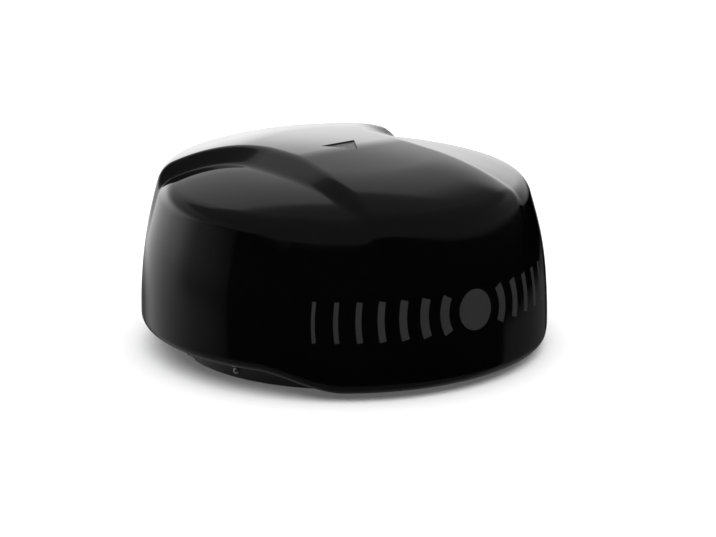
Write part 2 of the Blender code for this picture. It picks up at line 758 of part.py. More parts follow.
def make_bearing(level, low, race_material, ball_material, rotor, cage_pivot):
    middle = low + BEARING_WIDTH / 2
    half = BEARING_WIDTH / 2
    outer_track = BEARING_OUTER - RACE_THICKNESS
    inner_track = BEARING_INNER + RACE_THICKNESS
    outer = bmesh.new()
    add_turned(
        outer,
        [(outer_track, -half), (BEARING_OUTER, -half), (BEARING_OUTER, half), (outer_track, half)]
        + groove(outer_track, 1)[::-1],
        24,
    )
    finish(f"{level}_bearing_outer_race", outer, race_material, location=(0, 0, middle))
    inner = bmesh.new()
    add_turned(
        inner,
        [(inner_track, half), (BEARING_INNER, half), (BEARING_INNER, -half), (inner_track, -half)]
        + groove(inner_track, -1),
        24,
    )
    finish(f"{level}_bearing_inner_race", inner, race_material, rotor, (0, 0, middle))
    cage = bmesh.new()
    add_turned(cage, [(BALL_CIRCLE - 1, -2), (BALL_CIRCLE + 1, -2), (BALL_CIRCLE + 1, 2), (BALL_CIRCLE - 1, 2)], 24)
    ring = finish(f"{level}_bearing_ball_cage", cage, ball_material, cage_pivot, (0, 0, middle))
    balls = bmesh.new()
    for number in range(BALL_COUNT):
        angle = math.tau * number / BALL_COUNT
        centre = (BALL_CIRCLE * math.cos(angle), BALL_CIRCLE * math.sin(angle), 0)
        bmesh.ops.create_uvsphere(
            balls, u_segments=6, v_segments=4, radius=BALL_RADIUS, matrix=Matrix.Translation(centre)
        )
    join(ring, balls, "balls", location=(0, 0, middle))


# ---------------------------------------------------------------- drive


def involute_angle(radius, base_radius):
    """How far round an involute has come, from its start on the base circle out to a radius."""
    if radius <= base_radius:
        return 0.0
    slope = math.sqrt((radius / base_radius) ** 2 - 1)
    return slope - math.atan(slope)


def gear_outline(teeth, radii, turn=0.0):
    """The toothed outline of a spur gear, with the first tooth's middle on +X, turned by an angle."""
    pitch_radius = MODULE * teeth / 2
    base_radius = pitch_radius * math.cos(math.radians(PRESSURE_ANGLE))
    half_tooth = (math.pi * MODULE / 2 - BACKLASH) / 2 / pitch_radius
    at_base = half_tooth + involute_angle(pitch_radius, base_radius)
    rising = [(radius, at_base - involute_angle(radius, base_radius)) for radius in radii]
    outline = []
    for tooth in range(teeth):
        middle = turn + math.tau * tooth / teeth
        flank_angles = [(r, middle - half) for r, half in rising] + [(r, middle + half) for r, half in rising[::-1]]
        outline += [(r * math.cos(a), r * math.sin(a)) for r, a in flank_angles]
    return outline


def make_main_gear(material, rotor):
    root, tip = GEAR_RADIUS - 1.25 * MODULE, GEAR_RADIUS + MODULE
    bm = bmesh.new()
    add_prism(bm, gear_outline(GEAR_TEETH, (root, tip)), GEAR_LOW, GEAR_LOW + GEAR_WIDTH)
    gear = finish("main_gear", bm, material, rotor)
    holes = bmesh.new()
    add_cylinder(holes, (0, 0), SPIGOT_RADIUS + GAP, GEAR_LOW - 5, GEAR_LOW + GEAR_WIDTH + 5, 24)
    for number in range(6):
        centre = polar(60 * number, (GEAR_RADIUS + SPIGOT_RADIUS) / 2)
        add_cylinder(holes, centre, 16.0, GEAR_LOW - 5, GEAR_LOW + GEAR_WIDTH + 5, 10)
    cut(gear, holes, "holes")


def make_pinion(material, shaft_material, motor_pivot):
    root, tip = PINION_RADIUS - 1.25 * MODULE, PINION_RADIUS + MODULE
    half_pitch = math.pi / PINION_TEETH
    # An even count puts one of the main gear's teeth on its -X side, so the pinion turns a gap towards it.
    facing_gap = half_pitch if GEAR_TEETH % 2 == 0 else 0.0
    low = GEAR_LOW - 1
    bm = bmesh.new()
    add_prism(bm, gear_outline(PINION_TEETH, (root, PINION_RADIUS, tip), facing_gap), 0, GEAR_WIDTH + 2)
    pinion = finish("motor_pinion", bm, material, motor_pivot, (MOTOR_X, 0, low))
    bore = bmesh.new()
    add_cylinder(bore, (0, 0), MOTOR_SHAFT_RADIUS + GAP, -5, GEAR_WIDTH + 7, 12)
    cut(pinion, bore, "bore", location=(MOTOR_X, 0, low))
    shaft = bmesh.new()
    add_cylinder(shaft, (0, 0), MOTOR_SHAFT_RADIUS, PLATE_LOW - 28, low + GEAR_WIDTH + 4, 12)
    finish("motor_shaft", shaft, shaft_material, motor_pivot, (MOTOR_X, 0, 0))


def motor_screw_points():
    offset = MOTOR_SCREW_OFFSET
    return [(MOTOR_X - offset, -offset), (MOTOR_X + offset, offset)]


def make_motor(material, screw_material):
    half, corner = MOTOR_SIDE / 2, MOTOR_SIDE / 2 - 4
    top = PLATE_LOW - GAP
    outline = [
        (half, -corner),
        (half, corner),
        (corner, half),
        (-corner, half),
        (-half, corner),
        (-half, -corner),
        (-corner, -half),
        (corner, -half),
    ]
    bm = bmesh.new()
    add_prism(bm, [(MOTOR_X + x, y) for x, y in outline], top - MOTOR_LENGTH, top)
    motor = finish("drive_motor", bm, material)
    pilot = bmesh.new()
    add_cylinder(pilot, (MOTOR_X, 0), 11.0, top - 2, top + 2, 16)
    join(motor, pilot, "pilot")
    holes = bmesh.new()
    add_cylinder(holes, (MOTOR_X, 0), MOTOR_SHAFT_RADIUS + 2 * GAP, top - 29, top + 5, 12)
    for centre in motor_screw_points():
        add_cylinder(holes, centre, 1.7, top - 8, top + 5, 8)
    cut(motor, holes, "holes")
    mesh = screw_mesh("motor_screw", 1.4, 10.0, 2.8, 2.2, 1.2, 8)
    for number, centre in enumerate(motor_screw_points(), 1):
        location = (*centre, PLATE_TOP + GAP)
        place(f"motor_screw_{number}", mesh, screw_material, location=location, rotation=(180, 0, 0))


# ---------------------------------------------------------------- rotor


def make_shaft(steel, dark, rotor):
    groove_low, groove_high = LOWER_BEARING - 2.6, LOWER_BEARING - GAP
    bm = bmesh.new()
    add_turned(
        bm,
        [
            (SHAFT_BORE, SHAFT_LOW),
            (SHAFT_RADIUS, SHAFT_LOW),
            (SHAFT_RADIUS, groove_low),
            (SHAFT_RADIUS - 1, groove_low),
            (SHAFT_RADIUS - 1, groove_high),
            (SHAFT_RADIUS, groove_high),
            (SHAFT_RADIUS, SHAFT_TOP),
            (SHAFT_BORE, SHAFT_TOP),
        ],
        24,
    )
    finish("antenna_shaft", bm, steel, rotor)
    inner, outer, opening = SHAFT_RADIUS - 1 + GAP, SHAFT_RADIUS + 2.5, 30
    angles = [math.radians(opening + (360 - 2 * opening) * step / 16) for step in range(17)]
    outline = [(outer * math.cos(a), outer * math.sin(a)) for a in angles]
    outline += [(inner * math.cos(a), inner * math.sin(a)) for a in angles[::-1]]
    clip = bmesh.new()
    add_prism(clip, outline, groove_low + GAP, groove_high - GAP)
    finish("shaft_clip", clip, dark, rotor)


def make_hub(material, rotor):
    bore = SHAFT_RADIUS + GAP
    gear_top = GEAR_LOW + GEAR_WIDTH + GAP
    race_top = UPPER_BEARING + BEARING_WIDTH + GAP
    bm = bmesh.new()
    add_turned(
        bm,
        [
            (bore, race_top),
            (BEARING_INNER + RACE_THICKNESS - 1, race_top),
            (SPIGOT_RADIUS, PLATE_TOP + 3),
            (SPIGOT_RADIUS, gear_top),
            (SPIGOT_RADIUS + 12, gear_top),
            (SPIGOT_RADIUS + 12, gear_top + 5),
            (SPIGOT_RADIUS, gear_top + 8),
            (SHAFT_RADIUS + 4, gear_top + 12),
            (SHAFT_RADIUS + 4, HUB_TOP - 12),
            (HUB_FLANGE_RADIUS, HUB_TOP - 5),
            (HUB_FLANGE_RADIUS, HUB_TOP),
            (SHAFT_BORE + 1, HUB_TOP),
            (SHAFT_BORE + 1, SHAFT_TOP + 2),
            (bore, SHAFT_TOP + GAP),
        ],
        24,
    )
    finish("turntable_hub", bm, material, rotor)


def make_rotary_joint(metal, rotor):
    stator = bmesh.new()
    probe = SHAFT_BORE - 2.5
    base_top = SHAFT_LOW - 2.5
    add_turned(
        stator,
        [
            (0, FLOOR_TOP + GAP),
            (17, FLOOR_TOP + GAP),
            (17, base_top - 2),
            (probe + 2, base_top),
            (probe, base_top),
            (probe, SHAFT_TOP - 20),
            (0, SHAFT_TOP - 20),
        ],
        16,
    )
    finish("rotary_joint_stator", stator, metal)
    plug = bmesh.new()
    low = SHAFT_TOP - 18
    add_turned(
        plug,
        [(0, low), (SHAFT_BORE - GAP, low), (SHAFT_BORE - GAP, SHAFT_TOP + 8), (4, SHAFT_TOP + 12), (0, SHAFT_TOP + 12)],
        16,
    )
    finish("rotary_joint_rotor", plug, metal, rotor)


def make_index_mark(sensor_material, magnet_material, rotor):
    spot = (0.0, GEAR_RADIUS - 13)
    sensor = bmesh.new()
    add_box(sensor, (-9, 9), (spot[1] - 7, spot[1] + 7), (PLATE_TOP + GAP, PLATE_TOP + GAP + BOARD_THICKNESS))
    board = finish("index_sensor", sensor, sensor_material)
    chip = bmesh.new()
    add_box(chip, (-3, 3), (spot[1] - 2.5, spot[1] + 2.5), (PLATE_TOP + 1, PLATE_TOP + 3))
    join(board, chip, "chip")
    magnet = bmesh.new()
    add_cylinder(magnet, spot, 4.0, PLATE_TOP + 3.5, GEAR_LOW - GAP, 10)
    finish("index_magnet", magnet, magnet_material, rotor)


# ---------------------------------------------------------------- antenna


def channel_outline(low, high, back, front, wall):
    """A channel's section as (y, z), open towards the front, with short lips along its front edges."""
    lip = 3.0
    return [
        (back, low),
        (back, high),
        (front, high),
        (front, high - lip),
        (front + wall, high - lip),
        (front + wall, high - wall),
        (back - wall, high - wall),
        (back - wall, low + wall),
        (front + wall, low + wall),
        (front + wall, low + lip),
        (front, low + lip),
        (front, low),
    ]


def add_along_x(bm, outline, low, high):
    """Adds a prism along X over a section of (y, z) points."""
    ends = [[bm.verts.new((x, y, z)) for y, z in outline] for x in (low, high)]
    for end in ends:
        bm.faces.new(end)
    bridge(bm, *ends)


def inside_radius(height):
    """How far the dome's inside is from the axis at a height, under the shoulders."""
    level = height + DOME_WALL
    surface = [(radius, top - SHOULDER_STEP * step) for radius, top, step, drop in dome_profile()]
    for (near, upper), (far, lower) in zip(surface, surface[1:]):
        if lower < level:
            return near + (far - near) * (upper - level) / (upper - lower) - DOME_WALL


def make_antenna(frame_material, board_material, foam_material, cap_material, rotor):
    low, high = ANTENNA_LOW, ANTENNA_TOP
    back, front = ANTENNA_BACK, ANTENNA_BACK - ANTENNA_DEPTH
    half = math.sqrt((inside_radius(high) - SWEEP_CLEARANCE) ** 2 - front**2) - 3
    frame = bmesh.new()
    add_along_x(frame, channel_outline(low, high, back, front, SHEET), -half, half)
    finish("antenna_frame", frame, frame_material, rotor)

    board_back = front + SHEET + GAP + BOARD_THICKNESS
    inset = SHEET + GAP
    board = bmesh.new()
    edges = ((-half + 1, half - 1), (board_back - BOARD_THICKNESS, board_back), (low + inset, high - inset))
    add_box(board, *edges)
    array = finish("patch_array_board", board, board_material, rotor)
    patches = bmesh.new()
    pitch_x = (2 * half - 10) / PATCH_COLUMNS
    pitch_z = (high - low - 8) / PATCH_ROWS
    half_width, half_height = PATCH_SHARE * pitch_x / 2, PATCH_SHARE * pitch_z / 2
    face = edges[1][0]
    for row in range(PATCH_ROWS):
        for column in range(PATCH_COLUMNS):
            x = (column - (PATCH_COLUMNS - 1) / 2) * pitch_x
            z = (low + high) / 2 + (row - (PATCH_ROWS - 1) / 2) * pitch_z
            across, up = (x - half_width, x + half_width), (z - half_height, z + half_height)
            add_box(patches, across, (face - 0.5, face + 0.8), up)
    join(array, patches, "patches")

    foam = bmesh.new()
    add_box(
        foam,
        (-half + 1, half - 1),
        (board_back + GAP, back - SHEET - GAP),
        (low + inset, high - inset),
    )
    finish("foam_core", foam, foam_material, rotor)

    for side, name in ((-1, "left"), (1, "right")):
        cap = bmesh.new()
        ends = sorted((side * (half + GAP), side * (half + 3)))
        add_box(cap, ends, (front, back), (low, high))
        finish(f"antenna_end_cap_{name}", cap, cap_material, rotor)


def make_bracket(material, weight_material, rotor):
    low = HUB_TOP + GAP
    upright_back = ANTENNA_BACK + GAP + BRACKET_SHEET
    bm = bmesh.new()
    section = [
        (ANTENNA_BACK + GAP, low),
        (BRACKET_BACK, low),
        (BRACKET_BACK, low + BRACKET_SHEET),
        (upright_back, low + BRACKET_SHEET),
        (upright_back, BRACKET_TOP),
        (ANTENNA_BACK + GAP, BRACKET_TOP),
    ]
    add_along_x(bm, section, -BRACKET_HALF_WIDTH, BRACKET_HALF_WIDTH)
    bracket = finish("antenna_bracket", bm, material, rotor)
    hole = bmesh.new()
    add_cylinder(hole, (0, 0), 9.0, low - 5, low + 10, 16)
    cut(bracket, hole, "cable_hole")
    weight = bmesh.new()
    add_box(weight, (-32, 32), (14, BRACKET_BACK - 1), (low + BRACKET_SHEET + GAP, low + BRACKET_SHEET + 14))
    finish("balance_weight", weight, weight_material, rotor)


# ---------------------------------------------------------------- electronics and cables


def make_control_board(material):
    bm = bmesh.new()
    top = BOARD_LOW + BOARD_THICKNESS
    add_box(bm, (-BOARD_HALF_WIDTH, BOARD_HALF_WIDTH), (BOARD_FRONT, BOARD_BACK), (BOARD_LOW, top))
    board = finish("control_board", bm, material)
    chips = bmesh.new()
    length = BOARD_BACK - BOARD_FRONT
    for x, y, width, depth, height in (
        (-22, BOARD_BACK - 0.69 * length, 30, 30, 4),
        (24, BOARD_BACK - 0.75 * length, 22, 16, 3),
        (30, BOARD_BACK - 0.45 * length, 18, 18, 9),
        (-30, BOARD_BACK - 0.3 * length, 14, 22, 11),
        (2, BOARD_BACK - 0.38 * length, 12, 12, 2),
        (-36, BOARD_BACK - 7, 20, 10, 8),
        (28, BOARD_BACK - 7, 20, 10, 8),
    ):
        add_box(chips, (x - width / 2, x + width / 2), (y - depth / 2, y + depth / 2), (top - 1, top + height))
    join(board, chips, "chips")


def make_transceiver(case_material, lid_material, cable_material):
    low = FLOOR_TOP + GAP
    bm = bmesh.new()
    add_box(bm, (46, 136), (-58, 58), (low, CASE_TOP))
    case = finish("transceiver_case", bm, case_material)
    hollow = bmesh.new()
    add_box(hollow, (49, 133), (-55, 55), (low + 3, CASE_TOP + 5))
    cut(case, hollow, "hollow")
    lid = bmesh.new()
    add_box(lid, (46, 136), (-58, 58), (CASE_TOP + GAP, CASE_TOP + 3))
    finish("transceiver_lid", lid, lid_material)
    add_tube("feed_jumper", [(17.5, 0, 15.5), (26, 0, 15.5), (36, 0, 17), (45.5, 0, 17)], 1.5, cable_material)


def make_cables(power_material, network_material, feed_material, rotor):
    inner_end = BAY_FRONT - 20.5
    side = CONNECTOR_SPACING / 2
    height = CONNECTOR_HEIGHT
    power = [
        (-side, inner_end, height),
        (-side, inner_end - 10, height),
        (-40, 62, 20),
        (-54, 30, 18),
        (-60, -5, 18),
        (-52, -34, 20),
        (-36, -44, 30),
        (-36, -52, 36),
        (-36, BOARD_BACK - 1.6, 36),
    ]
    add_tube("power_harness", power, 2.6, power_material)
    network = [
        (side, inner_end, height),
        (side, inner_end - 10, height),
        (34, 62, 22),
        (39.5, 30, 22),
        (39.5, -8, 22),
        (36, -34, 24),
        (29, -44, 31),
        (28, -52, 36),
        (28, BOARD_BACK - 1.6, 36),
    ]
    add_tube("network_harness", network, 2.2, network_material)
    rise = 0.75 * (BRACKET_TOP - HUB_TOP)
    feed = [
        (0, 0, SHAFT_TOP + 12.5),
        (0, 0, HUB_TOP - 4),
        (0, 1, HUB_TOP + 0.14 * rise),
        (0, 5, HUB_TOP + 0.43 * rise),
        (0, 5, HUB_TOP + 0.71 * rise),
        (0, 0, HUB_TOP + 0.95 * rise),
        (0, -6, HUB_TOP + rise),
        (0, ANTENNA_BACK + BRACKET_SHEET + 2 * GAP, HUB_TOP + rise),
    ]
    add_tube("feed_cable", feed, 1.8, feed_material, rotor)


# ---------------------------------------------------------------- the whole object


def main():
    clear_scene()
    gloss = make_material("gloss_shell", (0.012, 0.012, 0.013), 0.08)
    satin = make_material("satin_base", (0.05, 0.05, 0.052), 0.45)
    rubber = make_material("seal_rubber", (0.02, 0.02, 0.02), 0.8)
    steel = make_material("stainless", (0.62, 0.62, 0.62), 0.25, 1.0)
    brass = make_material("brass", (0.72, 0.56, 0.25), 0.3, 1.0)
    connector = make_material("connector_plastic", (0.04, 0.04, 0.045), 0.5)
    cast = make_material("cast_aluminium", (0.55, 0.56, 0.57), 0.45, 1.0)
    sheet = make_material("sheet_aluminium", (0.7, 0.71, 0.72), 0.3, 1.0)
    acetal = make_material("acetal", (0.8, 0.79, 0.74), 0.4)
    motor = make_material("motor_black", (0.03, 0.03, 0.03), 0.4)
    laminate = make_material("board_green", (0.03, 0.16, 0.07), 0.4)
    foam = make_material("foam", (0.85, 0.85, 0.83), 0.9)
    cable = make_material("cable_black", (0.03, 0.03, 0.03), 0.6)
    coax = make_material("coax_copper", (0.72, 0.42, 0.26), 0.35, 1.0)

    rotor = pivot("antenna_axis")
    cages = pivot("ball_cage_axis")
    motor_pivot = pivot("motor_axis", MOTOR_X)

    make_dome(gloss)
    make_base(satin)
    make_gasket(rubber)
    make_cover_screws(steel)
    make_mount_inserts(brass)
    make_connector("power", -CONNECTOR_SPACING / 2, 3, connector, rubber)
    make_connector("network", CONNECTOR_SPACING / 2, 4, connector, rubber)
    make_vent(connector)
    make_chassis(cast, steel)
    make_bearing("lower", LOWER_BEARING, steel, brass, rotor, cages)
    make_bearing("upper", UPPER_BEARING, steel, brass, rotor, cages)
    make_motor(motor, steel)
    make_pinion(brass, steel, motor_pivot)
    make_main_gear(acetal, rotor)
    make_shaft(steel, motor, rotor)
    make_hub(cast, rotor)
    make_rotary_joint(brass, rotor)
    make_index_mark(laminate, steel, rotor)
    make_antenna(sheet, laminate, foam, connector, rotor)
    make_bracket(sheet, steel, rotor)
    make_control_board(laminate)
    make_transceiver(cast, sheet, coax)
    make_cables(cable, cable, coax, rotor)


main()
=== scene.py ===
"""The looks of a radar dome antenna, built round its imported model.

The pieces' lengths are in millimetres, and are turned into metres as each mesh is made. The stage's are in
metres. The bow is on -Y, and a piece's azimuth is counted from the bow, in degrees.
"""

import json
import math

import bmesh
import bpy
from mathutils import Matrix, Vector


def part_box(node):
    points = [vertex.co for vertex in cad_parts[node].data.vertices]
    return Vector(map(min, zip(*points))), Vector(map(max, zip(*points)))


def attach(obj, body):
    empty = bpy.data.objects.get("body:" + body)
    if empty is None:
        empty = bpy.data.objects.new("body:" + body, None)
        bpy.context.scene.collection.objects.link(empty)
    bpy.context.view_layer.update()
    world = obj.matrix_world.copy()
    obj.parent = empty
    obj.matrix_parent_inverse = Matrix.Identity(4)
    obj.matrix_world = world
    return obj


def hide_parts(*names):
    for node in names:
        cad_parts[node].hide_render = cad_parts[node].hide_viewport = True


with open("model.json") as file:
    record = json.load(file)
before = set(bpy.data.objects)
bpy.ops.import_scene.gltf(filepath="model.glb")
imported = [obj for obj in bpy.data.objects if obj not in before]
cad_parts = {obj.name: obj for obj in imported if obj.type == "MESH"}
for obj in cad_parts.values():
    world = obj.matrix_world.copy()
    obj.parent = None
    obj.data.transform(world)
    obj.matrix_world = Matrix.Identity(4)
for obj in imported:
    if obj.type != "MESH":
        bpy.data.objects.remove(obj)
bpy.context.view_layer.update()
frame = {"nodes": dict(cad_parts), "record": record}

MM = 0.001

# ---------------------------------------------------------------- the dome's shape

HEIGHT = 248.0
MAX_RADIUS = 254.5
FLAT_RADIUS = 2700.0
FLAT_REACH = 110.0  # how far out the nearly flat crown goes
CROWN_RADIUS = 340.0
RIM_RADIUS = 29.5
WALL_RADIUS = 585.0
LIP_RADIUS = 13.0
LIP_END = -80.0
DOME_WALL = 4.0
CHIN_CLEARANCE = 7.5  # under the lip in front
LIP_RISE = 21.5  # how much higher the lip is at the back
CHIN_HALF_ANGLE = 38.0
LIP_RISE_END = 63.0
SHOULDER_STEP = 15.4
TONGUE_HALF_WIDTH = 118.0
SHOULDER_BACK = 118.5
SHOULDER_CORNER = 80.0
SIDE_SLOPE = 42.0
BACK_SLOPE = 20.0
SLOPE_ROUNDING = 0.25
TONGUE_FADE = 260.0  # how far forward the tongue between the shoulders sinks
FADE_ROUNDING = 0.1
LEAST_TONGUE = 0.05
SHOULDER_REACH = 0.65
MARK_LENGTH = 40.5
MARK_WIDTH = 52.0
MARK_DEPTH = 1.5
MARK_CORNER = 0.8
MARK_PRISM = 8.0
LIP_CENTRE_R = MAX_RADIUS - LIP_RADIUS
LIP_CENTRE_Z = CHIN_CLEARANCE + LIP_RISE - LIP_RADIUS * math.sin(math.radians(LIP_END))
SEGMENTS = 288
FLAT_STEPS = 32
CROWN_STEPS = 40
RIM_STEPS = 14
WALL_STEPS = 26
LIP_STEPS = 10
AXIS_REACH = 1e-6  # a radius below this is a point on the axis


def smoothstep(value):
    value = min(1.0, max(0.0, value))
    return value * value * (3 - 2 * value)


def ramp(share):
    """Rises from 0 to 1, straight in the middle and rounded at both ends."""
    share = min(1.0, max(0.0, share))
    steepness = 1 / (1 - SLOPE_ROUNDING)
    if share < SLOPE_ROUNDING:
        return steepness * share**2 / (2 * SLOPE_ROUNDING)
    if share > 1 - SLOPE_ROUNDING:
        return 1 - steepness * (1 - share) ** 2 / (2 * SLOPE_ROUNDING)
    return steepness * (share - SLOPE_ROUNDING / 2)


def raised(x, y):
    """The share of the shoulders' step that the top stands above them: 0 on a shoulder, 1 at the back."""
    across, along = abs(x) - TONGUE_HALF_WIDTH, SHOULDER_BACK - y
    corner = Vector((SHOULDER_CORNER - across, SHOULDER_CORNER - along))
    if corner.x > 0 and corner.y > 0:
        depth, backness = SHOULDER_CORNER - corner.length, corner.y**2 / corner.length_squared
    else:
        depth, backness = min(across, along), float(along < across)
    forward = max(0.0, -y / TONGUE_FADE)
    if forward < FADE_ROUNDING:
        lost = forward**2 / (2 * FADE_ROUNDING)
    else:
        lost = forward - FADE_ROUNDING / 2
    height = max(LEAST_TONGUE, 1 - lost)
    width = SIDE_SLOPE + (BACK_SLOPE - SIDE_SLOPE) * backness
    return height * ramp(-depth / (width * height))


def chin(azimuth):
    """1 at the front, where the dome's edge hangs lowest, and 0 round the sides and back."""
    away = abs((azimuth + 180) % 360 - 180)
    return 1 - smoothstep((away - CHIN_HALF_ANGLE) / (LIP_RISE_END - CHIN_HALF_ANGLE))


def polar(azimuth, radius):
    """The (x, y) point at an azimuth from the bow."""
    angle = math.radians(azimuth)
    return radius * math.sin(angle), -radius * math.cos(angle)


def arc_points(centre, radius, start, end, count):
    """Points on a circle between two angles, without the first."""
    angles = [start + (end - start) * (step + 1) / count for step in range(count)]
    return [centre + radius * Vector((math.cos(angle), math.sin(angle))) for angle in angles]


def inner_tangent(centre, radius, other_centre, other_radius, size):
    """The centre of the circle of a size that touches two circles from inside, on their outer side."""
    reach, other_reach = radius - size, other_radius - size
    apart = other_centre - centre
    along = (reach**2 - other_reach**2 + apart.length_squared) / (2 * apart.length)
    aside = math.sqrt(reach**2 - along**2)
    towards = apart.normalized()
    across = Vector((-towards.y, towards.x))
    spots = [centre + along * towards + side * aside * across for side in (-1, 1)]
    return max(spots, key=lambda spot: spot.x)


def dome_profile():
    """(radius, height, share of the shoulders' step, share of the chin's drop) from the crown to the lip."""
    flat_centre = Vector((0, HEIGHT - FLAT_RADIUS))
    flat_end = math.acos(FLAT_REACH / FLAT_RADIUS)
    inward = Vector((math.cos(flat_end), math.sin(flat_end)))
    crown_centre = flat_centre + (FLAT_RADIUS - CROWN_RADIUS) * inward
    wall_centre = Vector((MAX_RADIUS - WALL_RADIUS, LIP_CENTRE_Z))
    rim_centre = inner_tangent(crown_centre, CROWN_RADIUS, wall_centre, WALL_RADIUS, RIM_RADIUS)
    crown_end = math.atan2(*(rim_centre - crown_centre).yx)
    wall_end = math.atan2(*(rim_centre - wall_centre).yx)
    top = [Vector((0, HEIGHT))] + arc_points(flat_centre, FLAT_RADIUS, math.pi / 2, flat_end, FLAT_STEPS)
    top += arc_points(crown_centre, CROWN_RADIUS, flat_end, crown_end, CROWN_STEPS)
    top += arc_points(rim_centre, RIM_RADIUS, crown_end, wall_end, RIM_STEPS)
    points = [(*point, 1.0, 0.0) for point in top]
    for step, point in enumerate(arc_points(wall_centre, WALL_RADIUS, wall_end, 0.0, WALL_STEPS), 1):
        share = step / WALL_STEPS
        points.append((*point, 1 - smoothstep(share / SHOULDER_REACH), smoothstep(share)))
    lip_centre = Vector((LIP_CENTRE_R, LIP_CENTRE_Z))
    lip = arc_points(lip_centre, LIP_RADIUS, 0.0, math.radians(LIP_END), LIP_STEPS)
    return points + [(*point, 0.0, 1.0) for point in lip]


PROFILE = dome_profile()


def dome_point(point, azimuth):
    """The place of a profile point at an azimuth, with the shoulders' step and the chin's drop taken off."""
    radius, height, step_share, drop_share = point
    x, y = polar(azimuth, radius)
    step = SHOULDER_STEP * step_share * (1 - raised(x, y))
    return Vector((x, y, height - step - LIP_RISE * drop_share * chin(azimuth)))


def wall_point(azimuth, height):
    """The point of the dome's outer wall at an azimuth and a height."""
    column = [dome_point(point, azimuth) for point in PROFILE[FLAT_STEPS + CROWN_STEPS :]]
    for upper, lower in zip(column, column[1:]):
        if lower.z <= height:
            return upper.lerp(lower, (upper.z - height) / (upper.z - lower.z))
    return column[-1]


# ---------------------------------------------------------------- mesh helpers

SHARP_ANGLE = 35


def make_object(name, bm, material):
    """Makes a piece from a mesh in millimetres, and lets it ride on the base."""
    bmesh.ops.recalc_face_normals(bm, faces=bm.faces)
    bmesh.ops.scale(bm, vec=(MM, MM, MM), verts=bm.verts)
    mesh = bpy.data.meshes.new(name)
    bm.to_mesh(mesh)
    bm.free()
    mesh.shade_smooth()
    mesh.set_sharp_from_angle(angle=math.radians(SHARP_ANGLE))
    mesh.materials.append(material)
    piece = bpy.data.objects.new(name, mesh)
    bpy.context.scene.collection.objects.link(piece)
    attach(piece, "base")
    return piece


def bridge(bm, lower, upper, closed=True):
    """Joins two rings of vertices with faces. A ring of one vertex is a pole."""
    count = max(len(lower), len(upper))
    for step in range(count if closed else count - 1):
        after = (step + 1) % count
        corners = [lower[step % len(lower)], lower[after % len(lower)]]
        corners += [upper[after % len(upper)], upper[step % len(upper)]]
        bm.faces.new(list(dict.fromkeys(corners)))


def turned(bm, profile, centre, segments):
    """Turns a closed outline of (radius, height) about the upright line through a centre."""
    rings = []
    for radius, height in profile:
        count = segments if radius > AXIS_REACH else 1
        spots = [Vector(centre) + Vector(polar(360 * step / count, radius)) for step in range(count)]
        rings.append([bm.verts.new((*spot, height)) for spot in spots])
    for lower, upper in zip(rings, rings[1:] + rings[:1]):
        if len(lower) > 1 or len(upper) > 1:
            bridge(bm, lower, upper)


# ---------------------------------------------------------------- materials

GRAIN_SHARE = 0.4  # of the drift; the blotches have the rest
NOISE_RANGE = (0.3, 0.7)


def procedural(
    name,
    colours,
    roughness,
    metallic=0.0,
    grain=400.0,
    stretch=(1, 1, 1),
    bump=0.15,
    depth=0.0002,
    blotch=25.0,
    sockets=None,
):
    """A material whose colour and roughness drift with a fine grain and broad blotches. The grain also gives
    its relief."""
    material = bpy.data.materials.new(name)
    material.use_nodes = True
    tree = material.node_tree
    node, link = tree.nodes.new, tree.links.new
    shader = tree.nodes["Principled BSDF"]
    shader.inputs["Metallic"].default_value = metallic
    for socket, value in (sockets or {}).items():
        shader.inputs[socket].default_value = value
    place = node("ShaderNodeTexCoord")
    stretched = node("ShaderNodeMapping")
    stretched.inputs["Scale"].default_value = stretch
    link(place.outputs["Object"], stretched.inputs["Vector"])

    fine = node("ShaderNodeTexNoise")
    fine.inputs["Scale"].default_value = grain
    fine.inputs["Detail"].default_value = 4.0
    link(stretched.outputs["Vector"], fine.inputs["Vector"])
    broad = node("ShaderNodeTexNoise")
    broad.inputs["Scale"].default_value = blotch
    broad.inputs["Detail"].default_value = 3.0
    link(place.outputs["Object"], broad.inputs["Vector"])

    both = node("ShaderNodeMath")
    both.operation = "MULTIPLY_ADD"
    both.inputs[1].default_value = GRAIN_SHARE
    link(fine.outputs["Fac"], both.inputs[0])
    scaled = node("ShaderNodeMath")
    scaled.operation = "MULTIPLY"
    scaled.inputs[1].default_value = 1 - GRAIN_SHARE
    link(broad.outputs["Fac"], scaled.inputs[0])
    link(scaled.outputs["Value"], both.inputs[2])

    tint = node("ShaderNodeValToRGB")
    for element, position, colour in zip(tint.color_ramp.elements, NOISE_RANGE, colours):
        element.position = position
        element.color = (*colour, 1)
    link(both.outputs["Value"], tint.inputs["Fac"])
    link(tint.outputs["Color"], shader.inputs["Base Color"])

    rough = node("ShaderNodeMapRange")
    for socket, value in zip(("From Min", "From Max", "To Min", "To Max"), (*NOISE_RANGE, *roughness)):
        rough.inputs[socket].default_value = value
    link(both.outputs["Value"], rough.inputs["Value"])
    link(rough.outputs["Result"], shader.inputs["Roughness"])

    relief = node("ShaderNodeBump")
    relief.inputs["Strength"].default_value = bump
    relief.inputs["Distance"].default_value = depth
    link(fine.outputs["Fac"], relief.inputs["Height"])
    link(relief.outputs["Normal"], shader.inputs["Normal"])
    return material


